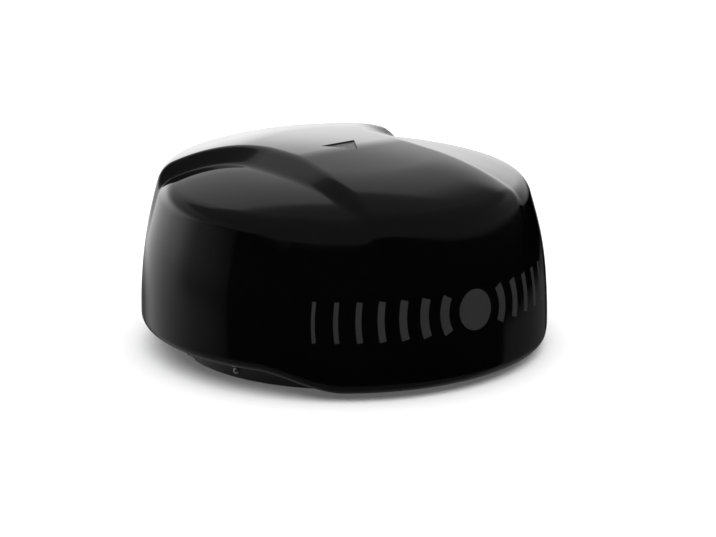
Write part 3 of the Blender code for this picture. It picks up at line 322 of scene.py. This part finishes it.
def layered(material, axis, level, colour, metallic=0.0):
    """Gives what stands beyond a level of an axis, in metres, a colour of its own, and a metal where one is
    given: the parts on a board, or the plating on it."""
    tree = material.node_tree
    shader = tree.nodes["Principled BSDF"]
    split = tree.nodes.new("ShaderNodeSeparateXYZ")
    tree.links.new(tree.nodes["Texture Coordinate"].outputs["Object"], split.inputs["Vector"])
    beyond = tree.nodes.new("ShaderNodeMath")
    beyond.operation = "GREATER_THAN" if level > 0 else "LESS_THAN"
    beyond.inputs[1].default_value = level
    tree.links.new(split.outputs[axis], beyond.inputs[0])
    mix = tree.nodes.new("ShaderNodeMix")
    mix.data_type = "RGBA"
    tree.links.new(beyond.outputs["Value"], mix.inputs["Factor"])
    tree.links.new(shader.inputs["Base Color"].links[0].from_socket, mix.inputs["A"])
    mix.inputs["B"].default_value = (*colour, 1)
    tree.links.new(mix.outputs["Result"], shader.inputs["Base Color"])
    metal = tree.nodes.new("ShaderNodeMath")
    metal.operation = "MULTIPLY"
    metal.inputs[1].default_value = metallic
    tree.links.new(beyond.outputs["Value"], metal.inputs[0])
    tree.links.new(metal.outputs["Value"], shader.inputs["Metallic"])
    return material


def tracked(material, colour, pitch, width):
    """Runs straight tracks of a colour under a board's mask."""
    tree = material.node_tree
    shader = tree.nodes["Principled BSDF"]
    tracks = tree.nodes.new("ShaderNodeTexBrick")
    tree.links.new(tree.nodes["Texture Coordinate"].outputs["Object"], tracks.inputs["Vector"])
    tracks.inputs["Scale"].default_value = 1 / pitch
    tracks.inputs["Mortar Size"].default_value = width
    tracks.inputs["Mortar"].default_value = (*colour, 1)
    mask = shader.inputs["Base Color"].links[0].from_socket
    tree.links.new(mask, tracks.inputs["Color1"])
    tree.links.new(mask, tracks.inputs["Color2"])
    tree.links.new(tracks.outputs["Color"], shader.inputs["Base Color"])
    return material


def shades(colour, spread=0.12):
    """A colour made a little darker, and a little lighter."""
    return tuple(c * (1 - spread) for c in colour), tuple(c * (1 + spread) for c in colour)


GLOSS = procedural(
    "gloss_black", ((0.0008, 0.0008, 0.0009), (0.0014, 0.0014, 0.0015)), (0.015, 0.035),
    grain=55.0, bump=0.03, depth=0.0002, blotch=9.0,
)
PRINT = procedural(
    "satin_print", ((0.022, 0.022, 0.022), (0.028, 0.028, 0.028)), (0.34, 0.42),
    grain=900.0, bump=0.08, depth=0.0001,
)
SATIN = procedural(
    "satin_moulding", ((0.014, 0.014, 0.0145), (0.021, 0.021, 0.0215)), (0.34, 0.46),
    grain=1500.0, bump=0.22, depth=0.00025,
)
RUBBER = procedural(
    "moulded_rubber", shades((0.012, 0.012, 0.012)), (0.6, 0.75), grain=900.0, bump=0.3, depth=0.0002
)
STEEL = procedural(
    "turned_stainless", shades((0.6, 0.6, 0.6)), (0.2, 0.34), 1.0, grain=260.0, stretch=(1, 1, 14), bump=0.12
)
GROUND_STEEL = procedural(
    "ground_bearing_steel", shades((0.58, 0.585, 0.6), 0.06), (0.1, 0.2), 1.0,
    grain=300.0, stretch=(1, 1, 22), bump=0.06, depth=0.0001,
)
BRASS = procedural(
    "machined_brass", shades((0.72, 0.52, 0.22)), (0.22, 0.38), 1.0,
    grain=260.0, stretch=(1, 1, 12), bump=0.12,
)
CAST = procedural(
    "cast_aluminium", shades((0.52, 0.53, 0.54)), (0.42, 0.6), 1.0, grain=700.0, bump=0.45, depth=0.0004
)
ROLLED = procedural(
    "rolled_aluminium", shades((0.66, 0.67, 0.68), 0.08), (0.22, 0.36), 1.0,
    grain=320.0, stretch=(0.08, 1, 1), bump=0.12, depth=0.0001,
)
ENAMEL = procedural(
    "motor_enamel", shades((0.018, 0.018, 0.019)), (0.3, 0.42), grain=800.0, bump=0.25, depth=0.0002
)
MOULDED = procedural(
    "moulded_nylon", shades((0.022, 0.022, 0.024)), (0.42, 0.55), grain=1100.0, bump=0.25, depth=0.0002
)
ACETAL = procedural(
    "natural_acetal", shades((0.76, 0.74, 0.68), 0.05), (0.3, 0.42), grain=500.0, bump=0.08, depth=0.0001,
    sockets={"Subsurface Weight": 0.12, "Subsurface Scale": 0.002},
)
NICKEL = procedural(
    "plated_nickel", shades((0.6, 0.59, 0.56), 0.05), (0.1, 0.2), 1.0, grain=300.0, bump=0.05, depth=0.0001
)
FOAM = procedural(
    "rigid_foam", shades((0.8, 0.79, 0.75), 0.07), (0.8, 0.95), grain=600.0, bump=0.8, depth=0.0008
)
IRON = procedural(
    "zinc_plated_iron", shades((0.3, 0.3, 0.29), 0.2), (0.35, 0.55), 1.0, grain=240.0, bump=0.3, depth=0.0003
)
JACKET = procedural(
    "cable_jacket", shades((0.014, 0.014, 0.015)), (0.4, 0.55), grain=900.0, bump=0.2, depth=0.0002
)
COPPER = procedural(
    "copper_coax", shades((0.72, 0.36, 0.2)), (0.25, 0.4), 1.0, grain=320.0, bump=0.12, depth=0.0001
)
MASK_GREEN = shades((0.012, 0.085, 0.035), 0.25)
BOARD_FACE = 0.0318  # the height, in metres, that only the control board's parts stand above
BOARD = tracked(
    procedural("solder_mask", MASK_GREEN, (0.22, 0.34), grain=900.0, bump=0.08, depth=0.0001),
    (0.03, 0.17, 0.075), 0.009, 0.03,
)
CONTROL_BOARD = layered(
    procedural("control_board", MASK_GREEN, (0.25, 0.4), grain=900.0, bump=0.08, depth=0.0001),
    "Z", BOARD_FACE, (0.012, 0.012, 0.013),
)
PATCH_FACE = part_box("patch_array_board")[0].lerp(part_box("patch_array_board")[1], 0.1).y
PATCH_BOARD = layered(
    procedural("patch_board", shades((0.62, 0.6, 0.5), 0.08), (0.2, 0.34), grain=900.0, bump=0.08),
    "Y", PATCH_FACE, (0.83, 0.6, 0.25), 1.0,
)
SLOT_MATERIALS = {
    "dome_shell": GLOSS, "base_shell": SATIN, "seal": RUBBER, "stainless_fasteners": STEEL,
    "threaded_brass": BRASS, "connector_shells": MOULDED, "connector_blocks": MOULDED, "cast_frame": CAST,
    "bearing_steel": GROUND_STEEL, "cage_brass": BRASS, "motor_case": ENAMEL, "turned_steel": STEEL,
    "pinion_brass": BRASS, "gear_plastic": ACETAL, "joint_brass": BRASS, "boards": BOARD, "magnet": NICKEL,
    "sheet_metal": ROLLED, "foam": FOAM, "cap_plastic": MOULDED, "ballast": IRON, "cable_jacket": JACKET,
    "copper_coax": COPPER,
}
NODE_MATERIALS = {"control_board": CONTROL_BOARD, "patch_array_board": PATCH_BOARD}
NODE_SHARP_ANGLE = 32
WELD_DISTANCE = 0.00001


def smoothing_nodes():
    """Welds a faceted solid's faces and shades the flat steps of its round faces as one."""
    tree = bpy.data.node_groups.new("smooth_round_faces", "GeometryNodeTree")
    tree.interface.new_socket("Geometry", in_out="INPUT", socket_type="NodeSocketGeometry")
    tree.interface.new_socket("Geometry", in_out="OUTPUT", socket_type="NodeSocketGeometry")
    node, link = tree.nodes.new, tree.links.new
    given, result = node("NodeGroupInput"), node("NodeGroupOutput")
    plain = node("GeometryNodeRemoveAttribute")
    plain.inputs["Name"].default_value = "custom_normal"
    weld = node("GeometryNodeMergeByDistance")
    weld.inputs["Distance"].default_value = WELD_DISTANCE
    smooth = node("GeometryNodeSetShadeSmooth")
    smooth.domain = "FACE"
    edges = node("GeometryNodeSetShadeSmooth")
    edges.domain = "EDGE"
    edges.inputs["Shade Smooth"].default_value = False
    angle = node("GeometryNodeInputMeshEdgeAngle")
    steep = node("FunctionNodeCompare")
    steep.operation = "GREATER_THAN"
    steep.inputs["B"].default_value = math.radians(NODE_SHARP_ANGLE)
    link(given.outputs[0], plain.inputs["Geometry"])
    link(plain.outputs["Geometry"], weld.inputs["Geometry"])
    link(weld.outputs["Geometry"], smooth.inputs["Geometry"])
    link(smooth.outputs["Geometry"], edges.inputs["Geometry"])
    link(angle.outputs["Unsigned Angle"], steep.inputs["A"])
    link(steep.outputs["Result"], edges.inputs["Selection"])
    link(edges.outputs["Geometry"], result.inputs[0])
    return tree


def finish_nodes():
    """Gives every carried-over node the material of its slot, and shades its round faces smooth."""
    slots = {subpart["node"]: subpart["material_slot"] for subpart in frame["record"]["subparts"]}
    smoothing = smoothing_nodes()
    for name, piece in frame["nodes"].items():
        material = NODE_MATERIALS.get(name, SLOT_MATERIALS[slots[name]])
        for place in piece.material_slots:
            place.link = "OBJECT"
            place.material = material
        modifier = piece.modifiers.new("smooth_round_faces", "NODES")
        modifier.node_group = smoothing


finish_nodes()

# ---------------------------------------------------------------- dome


def mark_cutter():
    """The bow mark's prism: a flat triangle that points forward, with slightly rounded corners."""
    bm = bmesh.new()
    tip, base, half = -2 * MARK_LENGTH / 3, MARK_LENGTH / 3, MARK_WIDTH / 2
    corners = [bm.verts.new((x, y, HEIGHT - MARK_DEPTH)) for x, y in ((0, tip), (half, base), (-half, base))]
    floor = bm.faces.new(corners)
    extruded = bmesh.ops.extrude_face_region(bm, geom=[floor])["geom"]
    top = [item for item in extruded if isinstance(item, bmesh.types.BMVert)]
    bmesh.ops.translate(bm, verts=top, vec=(0, 0, MARK_PRISM))
    upright = [edge for edge in bm.edges if edge.verts[0].co.z != edge.verts[1].co.z]
    bmesh.ops.bevel(bm, geom=upright, offset=MARK_CORNER, segments=3, affect="EDGES", profile=0.5)
    return bm


def make_dome():
    """The dome's shell: its outer skin, thickened inwards, with the bow mark cut into it."""
    bm = bmesh.new()
    azimuths = [360 * step / SEGMENTS for step in range(SEGMENTS)]
    rings = []
    for point in PROFILE:
        spots = azimuths if point[0] > AXIS_REACH else azimuths[:1]
        rings.append([bm.verts.new(dome_point(point, azimuth)) for azimuth in spots])
    for upper, lower in zip(rings, rings[1:]):
        bridge(bm, upper, lower)
    dome = make_object("dome_shell", bm, GLOSS)
    shell = dome.modifiers.new("wall", "SOLIDIFY")
    shell.thickness = DOME_WALL * MM
    shell.offset = -1
    shell.use_even_offset = True
    cutter = make_object("mark_cutter", mark_cutter(), SATIN)
    cut = dome.modifiers.new("bow_mark", "BOOLEAN")
    cut.object = cutter
    cut.operation = "DIFFERENCE"
    cut.material_mode = "TRANSFER"
    bpy.context.view_layer.update()
    evaluated = dome.evaluated_get(bpy.context.evaluated_depsgraph_get())
    carved = bpy.data.meshes.new_from_object(evaluated)
    dome.modifiers.clear()
    dome.data = carved
    carved.set_sharp_from_angle(angle=math.radians(SHARP_ANGLE))
    bpy.data.objects.remove(cutter)
    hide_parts("radome_cover")


make_dome()

# ---------------------------------------------------------------- emblem

EMBLEM_REACH = 252.0  # the wall's radius at the emblem
EMBLEM_MIDDLE = 95.5
EMBLEM_HALF_HEIGHT = 24.5
EMBLEM_DISC = 24.5
EMBLEM_DISC_RINGS = (0.35, 0.7, 1.0)
EMBLEM_SEGMENTS = 48
EMBLEM_FIRST_ARC = 45.0
EMBLEM_PITCH = 26.5
EMBLEM_ARCS = 7
EMBLEM_ARC_STEPS = 16
EMBLEM_STROKE = 12.0
EMBLEM_TAPER = 0.62  # share of the stroke that the outermost arc has lost
EMBLEM_PROUD = 0.2
EMBLEM_ROOT = 0.6


def on_wall(along, above, proud):
    """The point of the front wall that lies a length along it from the bow and a height above the emblem's
    middle, a little proud of it."""
    azimuth = math.degrees(along / EMBLEM_REACH)
    return wall_point(azimuth, EMBLEM_MIDDLE + above) + Vector((*polar(azimuth, proud), 0))


def add_disc(bm):
    """A thin closed disc on the wall."""
    circle = [math.tau * step / EMBLEM_SEGMENTS for step in range(EMBLEM_SEGMENTS)]
    rims = []
    for proud in (EMBLEM_PROUD, -EMBLEM_ROOT):
        inner = [bm.verts.new(on_wall(0, 0, proud))]
        for share in EMBLEM_DISC_RINGS:
            reach = share * EMBLEM_DISC
            spots = [(reach * math.cos(angle), reach * math.sin(angle)) for angle in circle]
            outer = [bm.verts.new(on_wall(*spot, proud)) for spot in spots]
            bridge(bm, inner, outer)
            inner = outer
        rims.append(inner)
    bridge(bm, *rims)


def add_arc(bm, radius, thickness, side):
    """A thin closed arc on the wall, centred on the disc, on one side of it."""
    spread = math.asin(EMBLEM_HALF_HEIGHT / (radius + thickness / 2))
    reaches = (radius - thickness / 2, radius, radius + thickness / 2)
    rows = []
    for step in range(EMBLEM_ARC_STEPS + 1):
        angle = spread * (2 * step / EMBLEM_ARC_STEPS - 1)
        rows.append([(side * reach * math.cos(angle), reach * math.sin(angle)) for reach in reaches])
    sheets = []
    for proud in (EMBLEM_PROUD, -EMBLEM_ROOT):
        sheets.append([[bm.verts.new(on_wall(*spot, proud)) for spot in row] for row in rows])
    front, back = sheets
    for sheet in sheets:
        for lower, upper in zip(sheet, sheet[1:]):
            bridge(bm, lower, upper, closed=False)
    for end in (0, -1):
        bridge(bm, front[end], back[end], closed=False)
        bridge(bm, [row[end] for row in front], [row[end] for row in back], closed=False)


def make_emblem():
    """A disc between nested arcs that thin out to both sides, printed on the front of the dome."""
    bm = bmesh.new()
    add_disc(bm)
    for order in range(EMBLEM_ARCS):
        thickness = EMBLEM_STROKE * (1 - EMBLEM_TAPER * order / (EMBLEM_ARCS - 1))
        for side in (-1, 1):
            add_arc(bm, EMBLEM_FIRST_ARC + order * EMBLEM_PITCH, thickness, side)
    emblem = make_object("printed_emblem", bm, PRINT)


make_emblem()

# ---------------------------------------------------------------- ledge and bosses

GASKET_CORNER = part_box("rim_gasket")[1] / MM
GASKET_WIDTH = 5.5
GAP = 0.3  # between pieces that touch on the real object
LEDGE_LOW = GASKET_CORNER.z + GAP
LEDGE_THICKNESS = 3.5
LEDGE_INNER = GASKET_CORNER.x - GASKET_WIDTH
LEDGE_OUTER = 251.0
SCREW_COUNT = 10
SCREW_BORE = 2.8
SCREW_ROOM = 0.5
BOSS_RADIUS = 6.1
BOSS_CHAMFER = 1.5
BOSS_ROOF = 3.0
BOSS_ROOT = 0.5
BOSS_SEGMENTS = 32


def make_ledge():
    """The dome's inner ledge, which presses on the gasket, and the blind bosses for the cover screws."""
    bm = bmesh.new()
    top = LEDGE_LOW + LEDGE_THICKNESS
    ring = ((LEDGE_INNER, LEDGE_LOW), (LEDGE_OUTER, LEDGE_LOW), (LEDGE_OUTER, top), (LEDGE_INNER, top))
    turned(bm, ring, (0, 0), SEGMENTS)
    foot = top - BOSS_ROOT
    for number in range(1, SCREW_COUNT + 1):
        low, high = (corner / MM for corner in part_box(f"cover_screw_{number:02d}"))
        bore_top = high.z + SCREW_ROOM
        boss_top = bore_top + BOSS_ROOF
        boss = (
            (SCREW_BORE, foot), (BOSS_RADIUS, foot), (BOSS_RADIUS, boss_top - BOSS_CHAMFER),
            (BOSS_RADIUS - BOSS_CHAMFER, boss_top), (0, boss_top), (0, bore_top), (SCREW_BORE, bore_top),
        )
        turned(bm, boss, ((low + high) / 2).xy, BOSS_SEGMENTS)
    ledge = make_object("dome_ledge", bm, MOULDED)


make_ledge()

# ---------------------------------------------------------------- skirt screws

SKIRT_RADIUS = 210.0  # at the screws' height
SKIRT_SCREW_AZIMUTH = 76.0
SKIRT_SCREW_HEIGHT = 10.0
SKIRT_SCREW_SEGMENTS = 32
SKIRT_SCREW = (  # radius, and how far out of the skirt
    (0, -3), (3.9, -3), (3.9, 0.9), (3.5, 1.6), (2.6, 2.0), (1.9, 2.1), (1.7, 1.9), (1.7, 0.6), (0, 0.4),
)


def make_skirt_screws():
    """A small button-head screw on each side of the base's skirt."""
    for side, azimuth in (("left", -SKIRT_SCREW_AZIMUTH), ("right", SKIRT_SCREW_AZIMUTH)):
        bm = bmesh.new()
        turned(bm, SKIRT_SCREW, (0, 0), SKIRT_SCREW_SEGMENTS)
        outward = Vector((*polar(azimuth, 1), 0))
        place = Matrix.Translation(outward * SKIRT_RADIUS + Vector((0, 0, SKIRT_SCREW_HEIGHT)))
        turn_out = outward.to_track_quat("Z", "Y").to_matrix().to_4x4()
        bmesh.ops.transform(bm, matrix=place @ turn_out, verts=bm.verts)
        screw = make_object(f"skirt_screw_{side}", bm, STEEL)


make_skirt_screws()

# ---------------------------------------------------------------- stage

CAMERA_TURN = -38.0  # degrees round the object from the bow
CAMERA_REACH = 2.9
CAMERA_HEIGHT = 0.926
CAMERA_LENS = 121.13
TARGET_ASIDE = 0.017
TARGET_HEIGHT = 0.089
FLOOR_RADIUS = 14
FLOOR_DROP = 0.0003  # under the base's foot
FLOOR_COLOUR = (0.9, 0.9, 0.9)
FLOOR_GLOW = 0.1
FLOOR_GLOW_REACH = (0.55, 1.6)  # from the middle out to where the floor is as white as the backdrop
BACKDROP_RADIUS = 13.5
LIGHT_HEIGHT = 3.0
LIGHT_SIDE = 7
LIGHT_POWER = 300


def stage_plane(name, bm, colour, glow):
    """A matt stage piece that glows, and that the gloss doesn't mirror."""
    mesh = bpy.data.meshes.new(name)
    bm.to_mesh(mesh)
    bm.free()
    material = bpy.data.materials.new(name)
    material.use_nodes = True
    shader = material.node_tree.nodes["Principled BSDF"]
    shader.inputs["Base Color"].default_value = (*colour, 1)
    shader.inputs["Roughness"].default_value = 0.9
    shader.inputs["Specular IOR Level"].default_value = 0.0
    shader.inputs["Emission Color"].default_value = (1, 1, 1, 1)
    shader.inputs["Emission Strength"].default_value = glow
    mesh.materials.append(material)
    piece = bpy.data.objects.new(name, mesh)
    bpy.context.scene.collection.objects.link(piece)
    piece.visible_glossy = False
    return piece


def whiten_outwards(material):
    """Lets the floor's glow rise to the backdrop's away from the middle, so that no horizon shows."""
    tree = material.node_tree
    length = tree.nodes.new("ShaderNodeVectorMath")
    length.operation = "LENGTH"
    tree.links.new(tree.nodes.new("ShaderNodeTexCoord").outputs["Object"], length.inputs[0])
    glow = tree.nodes.new("ShaderNodeMapRange")
    glow.interpolation_type = "SMOOTHSTEP"
    given = (*FLOOR_GLOW_REACH, FLOOR_GLOW, 1.0)
    for socket, value in zip(("From Min", "From Max", "To Min", "To Max"), given):
        glow.inputs[socket].default_value = value
    tree.links.new(length.outputs["Value"], glow.inputs["Value"])
    tree.links.new(glow.outputs["Result"], tree.nodes["Principled BSDF"].inputs["Emission Strength"])


def make_stage():
    """A pale floor, and a white backdrop all round that lights nothing and casts no shadow."""
    sheet = bmesh.new()
    bmesh.ops.create_circle(sheet, cap_ends=True, segments=96, radius=FLOOR_RADIUS)
    floor = stage_plane("floor", sheet, FLOOR_COLOUR, FLOOR_GLOW)
    floor.location.z = -FLOOR_DROP
    whiten_outwards(floor.data.materials[0])
    room = bmesh.new()
    bmesh.ops.create_icosphere(room, subdivisions=5, radius=BACKDROP_RADIUS)
    backdrop = stage_plane("backdrop", room, (0, 0, 0), 1.0)
    backdrop.visible_diffuse = False
    backdrop.visible_shadow = False


def make_light():
    """A broad soft light straight above, which the gloss doesn't mirror."""
    data = bpy.data.lights.new("overhead", "AREA")
    data.shape = "RECTANGLE"
    data.size, data.size_y = LIGHT_SIDE, LIGHT_SIDE
    data.energy = LIGHT_POWER
    light = bpy.data.objects.new("overhead", data)
    bpy.context.scene.collection.objects.link(light)
    light.location.z = LIGHT_HEIGHT
    light.visible_camera = False
    light.visible_glossy = False


def make_camera():
    """The main view's camera."""
    turn = math.radians(CAMERA_TURN)
    data = bpy.data.cameras.new("camera")
    camera = bpy.data.objects.new("camera", data)
    bpy.context.scene.collection.objects.link(camera)
    bpy.context.scene.camera = camera
    data.sensor_width = 36.0
    data.lens = CAMERA_LENS
    camera.location = (CAMERA_REACH * math.sin(turn), -CAMERA_REACH * math.cos(turn), CAMERA_HEIGHT)
    target = Vector((TARGET_ASIDE * math.cos(turn), TARGET_ASIDE * math.sin(turn), TARGET_HEIGHT))
    camera.rotation_euler = (target - camera.location).to_track_quat("-Z", "Y").to_euler()


# ---------------------------------------------------------------- the room that the gloss mirrors

# Azimuths here are counted to the right from the way that the camera looks. Two angles are where something
# starts and where it is full, but an EDGE and the TILT are degrees of height at the two azimuths before them.

ROOM = 0.0005  # a faint light from everywhere
CEILING = 0.122
CEILING_EDGE_AZIMUTHS = (30, 150)
CEILING_EDGE = (-5, 16.3)
LEFT_CEILING_AZIMUTHS = (-40, -100)
LEFT_CEILING_EDGE = (-5, 15.6)
CEILING_BLUR = (-0.9, 0.9)
WALL = 2.0
WALL_BRIGHTNESS = (  # azimuth, share
    (-180, 0), (-113, 0), (-111.5, 0.06), (-100, 0.12), (-80, 0.22), (-57, 0.48), (-40, 0.7), (-30, 0.86),
    (-15, 0.94), (0, 0.94), (12, 0.92), (20, 0.66), (26, 0.42), (36, 0.18), (55, 0.03), (80, 0), (180, 0),
)
WALL_FADE = (  # elevation, share
    (-90, 0), (-40, 0.06), (-22, 0.28), (-10, 0.5), (-3, 0.62), (2, 0.8), (6, 0.96), (11, 1), (13.4, 0.76),
    (15, 0.58), (17, 0.4), (19, 0.27), (22, 0.19), (38, 0.16), (42, 0.16), (43.5, 0.1), (45, 0.02), (50, 0),
)
TILT_AZIMUTHS = (-4, 20)  # the fade stands higher to the right, up to the tilt's top
TILT = (-2.6, 13)
TILT_TOP = (42, 30)

# Where the wall is dark or dimmer: low on the right, high on both sides, on the left and low in the middle.
RIGHT = (11, 17)
RIGHT_LOW = (4, -6)
SIDES_CENTRE = -12
SIDES = (24, 36)
SIDES_HIGH = (27, 33)
LEFT = (-65, -85)
LEFT_LEVEL = (-14, -4)
LEFT_SHARE = 0.45
MIDDLE = (45, 22)
MIDDLE_LOW = (-11, -16)
MIDDLE_SHARE = 0.85

STRIP = 0.08
STRIP_START = (18, 24)
STRIP_END = (84, 76)
STRIP_TOP = (-11, -14)
GROUND = 0.09
GROUND_TOP = (-22, -30)


def make_world():
    """A grey ceiling with a straight edge, a bright wall behind the object that fades to both sides, a dim
    strip low on the right and a dim ground."""
    world = bpy.data.worlds.new("studio")
    bpy.context.scene.world = world
    world.use_nodes = True
    tree = world.node_tree
    link = tree.links.new

    def connect(sockets, values):
        for socket, value in zip(sockets, values):
            if isinstance(value, (int, float)):
                socket.default_value = value
            else:
                link(value, socket)

    def calculate(operation, *values):
        made = tree.nodes.new("ShaderNodeMath")
        made.operation = operation
        connect(made.inputs, values)
        return made.outputs["Value"]

    def product(first, *others):
        for other in others:
            first = calculate("MULTIPLY", first, other)
        return first

    def without(value, part, share=1.0):
        """What is left of a value where a share of a part of the room is taken off."""
        return product(value, calculate("SUBTRACT", 1, product(part, share)))

    def rise(value, start, end, low=0.0, high=1.0, smooth=True):
        made = tree.nodes.new("ShaderNodeMapRange")
        made.interpolation_type = "SMOOTHSTEP" if smooth else "LINEAR"
        connect(made.inputs, (value, start, end, low, high))
        return made.outputs["Result"]

    def curve(value, start, end, stops):
        """A grey that follows a smooth curve between stops, each an angle and a brightness."""
        made = tree.nodes.new("ShaderNodeValToRGB")
        link(rise(value, start, end, smooth=False), made.inputs["Fac"])
        made.color_ramp.interpolation = "B_SPLINE"
        elements = made.color_ramp.elements
        while len(elements) < len(stops):
            elements.new(0.5)
        for element, (angle, grey) in zip(elements, stops):
            element.position = (angle - start) / (end - start)
            element.color = (grey, grey, grey, 1)
        return made.outputs["Color"]

    direction = tree.nodes.new("ShaderNodeTexCoord").outputs["Generated"]
    from_view = tree.nodes.new("ShaderNodeVectorRotate")
    from_view.rotation_type = "Z_AXIS"
    from_view.inputs["Angle"].default_value = math.radians(-CAMERA_TURN)
    link(direction, from_view.inputs["Vector"])
    split = tree.nodes.new("ShaderNodeSeparateXYZ")
    link(from_view.outputs["Vector"], split.inputs["Vector"])
    right, forward, up = split.outputs
    azimuth = calculate("DEGREES", calculate("ARCTAN2", right, forward))
    aside = calculate("ABSOLUTE", azimuth)
    elevation = calculate("DEGREES", calculate("ARCSINE", up))

    edge = rise(aside, *CEILING_EDGE_AZIMUTHS, *CEILING_EDGE, smooth=False)
    left_edge = rise(azimuth, *LEFT_CEILING_AZIMUTHS, *LEFT_CEILING_EDGE, smooth=False)
    above = calculate("SUBTRACT", elevation, calculate("MAXIMUM", edge, left_edge))
    ceiling = product(rise(above, *CEILING_BLUR), CEILING)

    tilt = product(rise(azimuth, *TILT_AZIMUTHS, *TILT, smooth=False), rise(elevation, *TILT_TOP))
    fade = curve(calculate("SUBTRACT", elevation, tilt), -90, 90, WALL_FADE)
    wall = product(curve(azimuth, -180, 180, WALL_BRIGHTNESS), fade, WALL)
    off_centre = calculate("ABSOLUTE", calculate("SUBTRACT", azimuth, SIDES_CENTRE))
    wall = without(wall, product(rise(azimuth, *RIGHT), rise(elevation, *RIGHT_LOW)))
    wall = without(wall, product(rise(off_centre, *SIDES), rise(elevation, *SIDES_HIGH)))
    wall = without(wall, product(rise(azimuth, *LEFT), rise(elevation, *LEFT_LEVEL)), LEFT_SHARE)
    wall = without(wall, product(rise(aside, *MIDDLE), rise(elevation, *MIDDLE_LOW)), MIDDLE_SHARE)

    strip = product(rise(azimuth, *STRIP_START), rise(azimuth, *STRIP_END))
    strip = product(strip, rise(elevation, *STRIP_TOP), STRIP)
    ground = product(rise(elevation, *GROUND_TOP), GROUND)
    total = ROOM
    for part in (ceiling, wall, strip, ground):
        total = calculate("ADD", total, part)
    link(total, tree.nodes["Background"].inputs["Color"])


make_stage()
make_world()
make_light()
make_camera()
bpy.context.scene.view_settings.view_transform = "Standard"
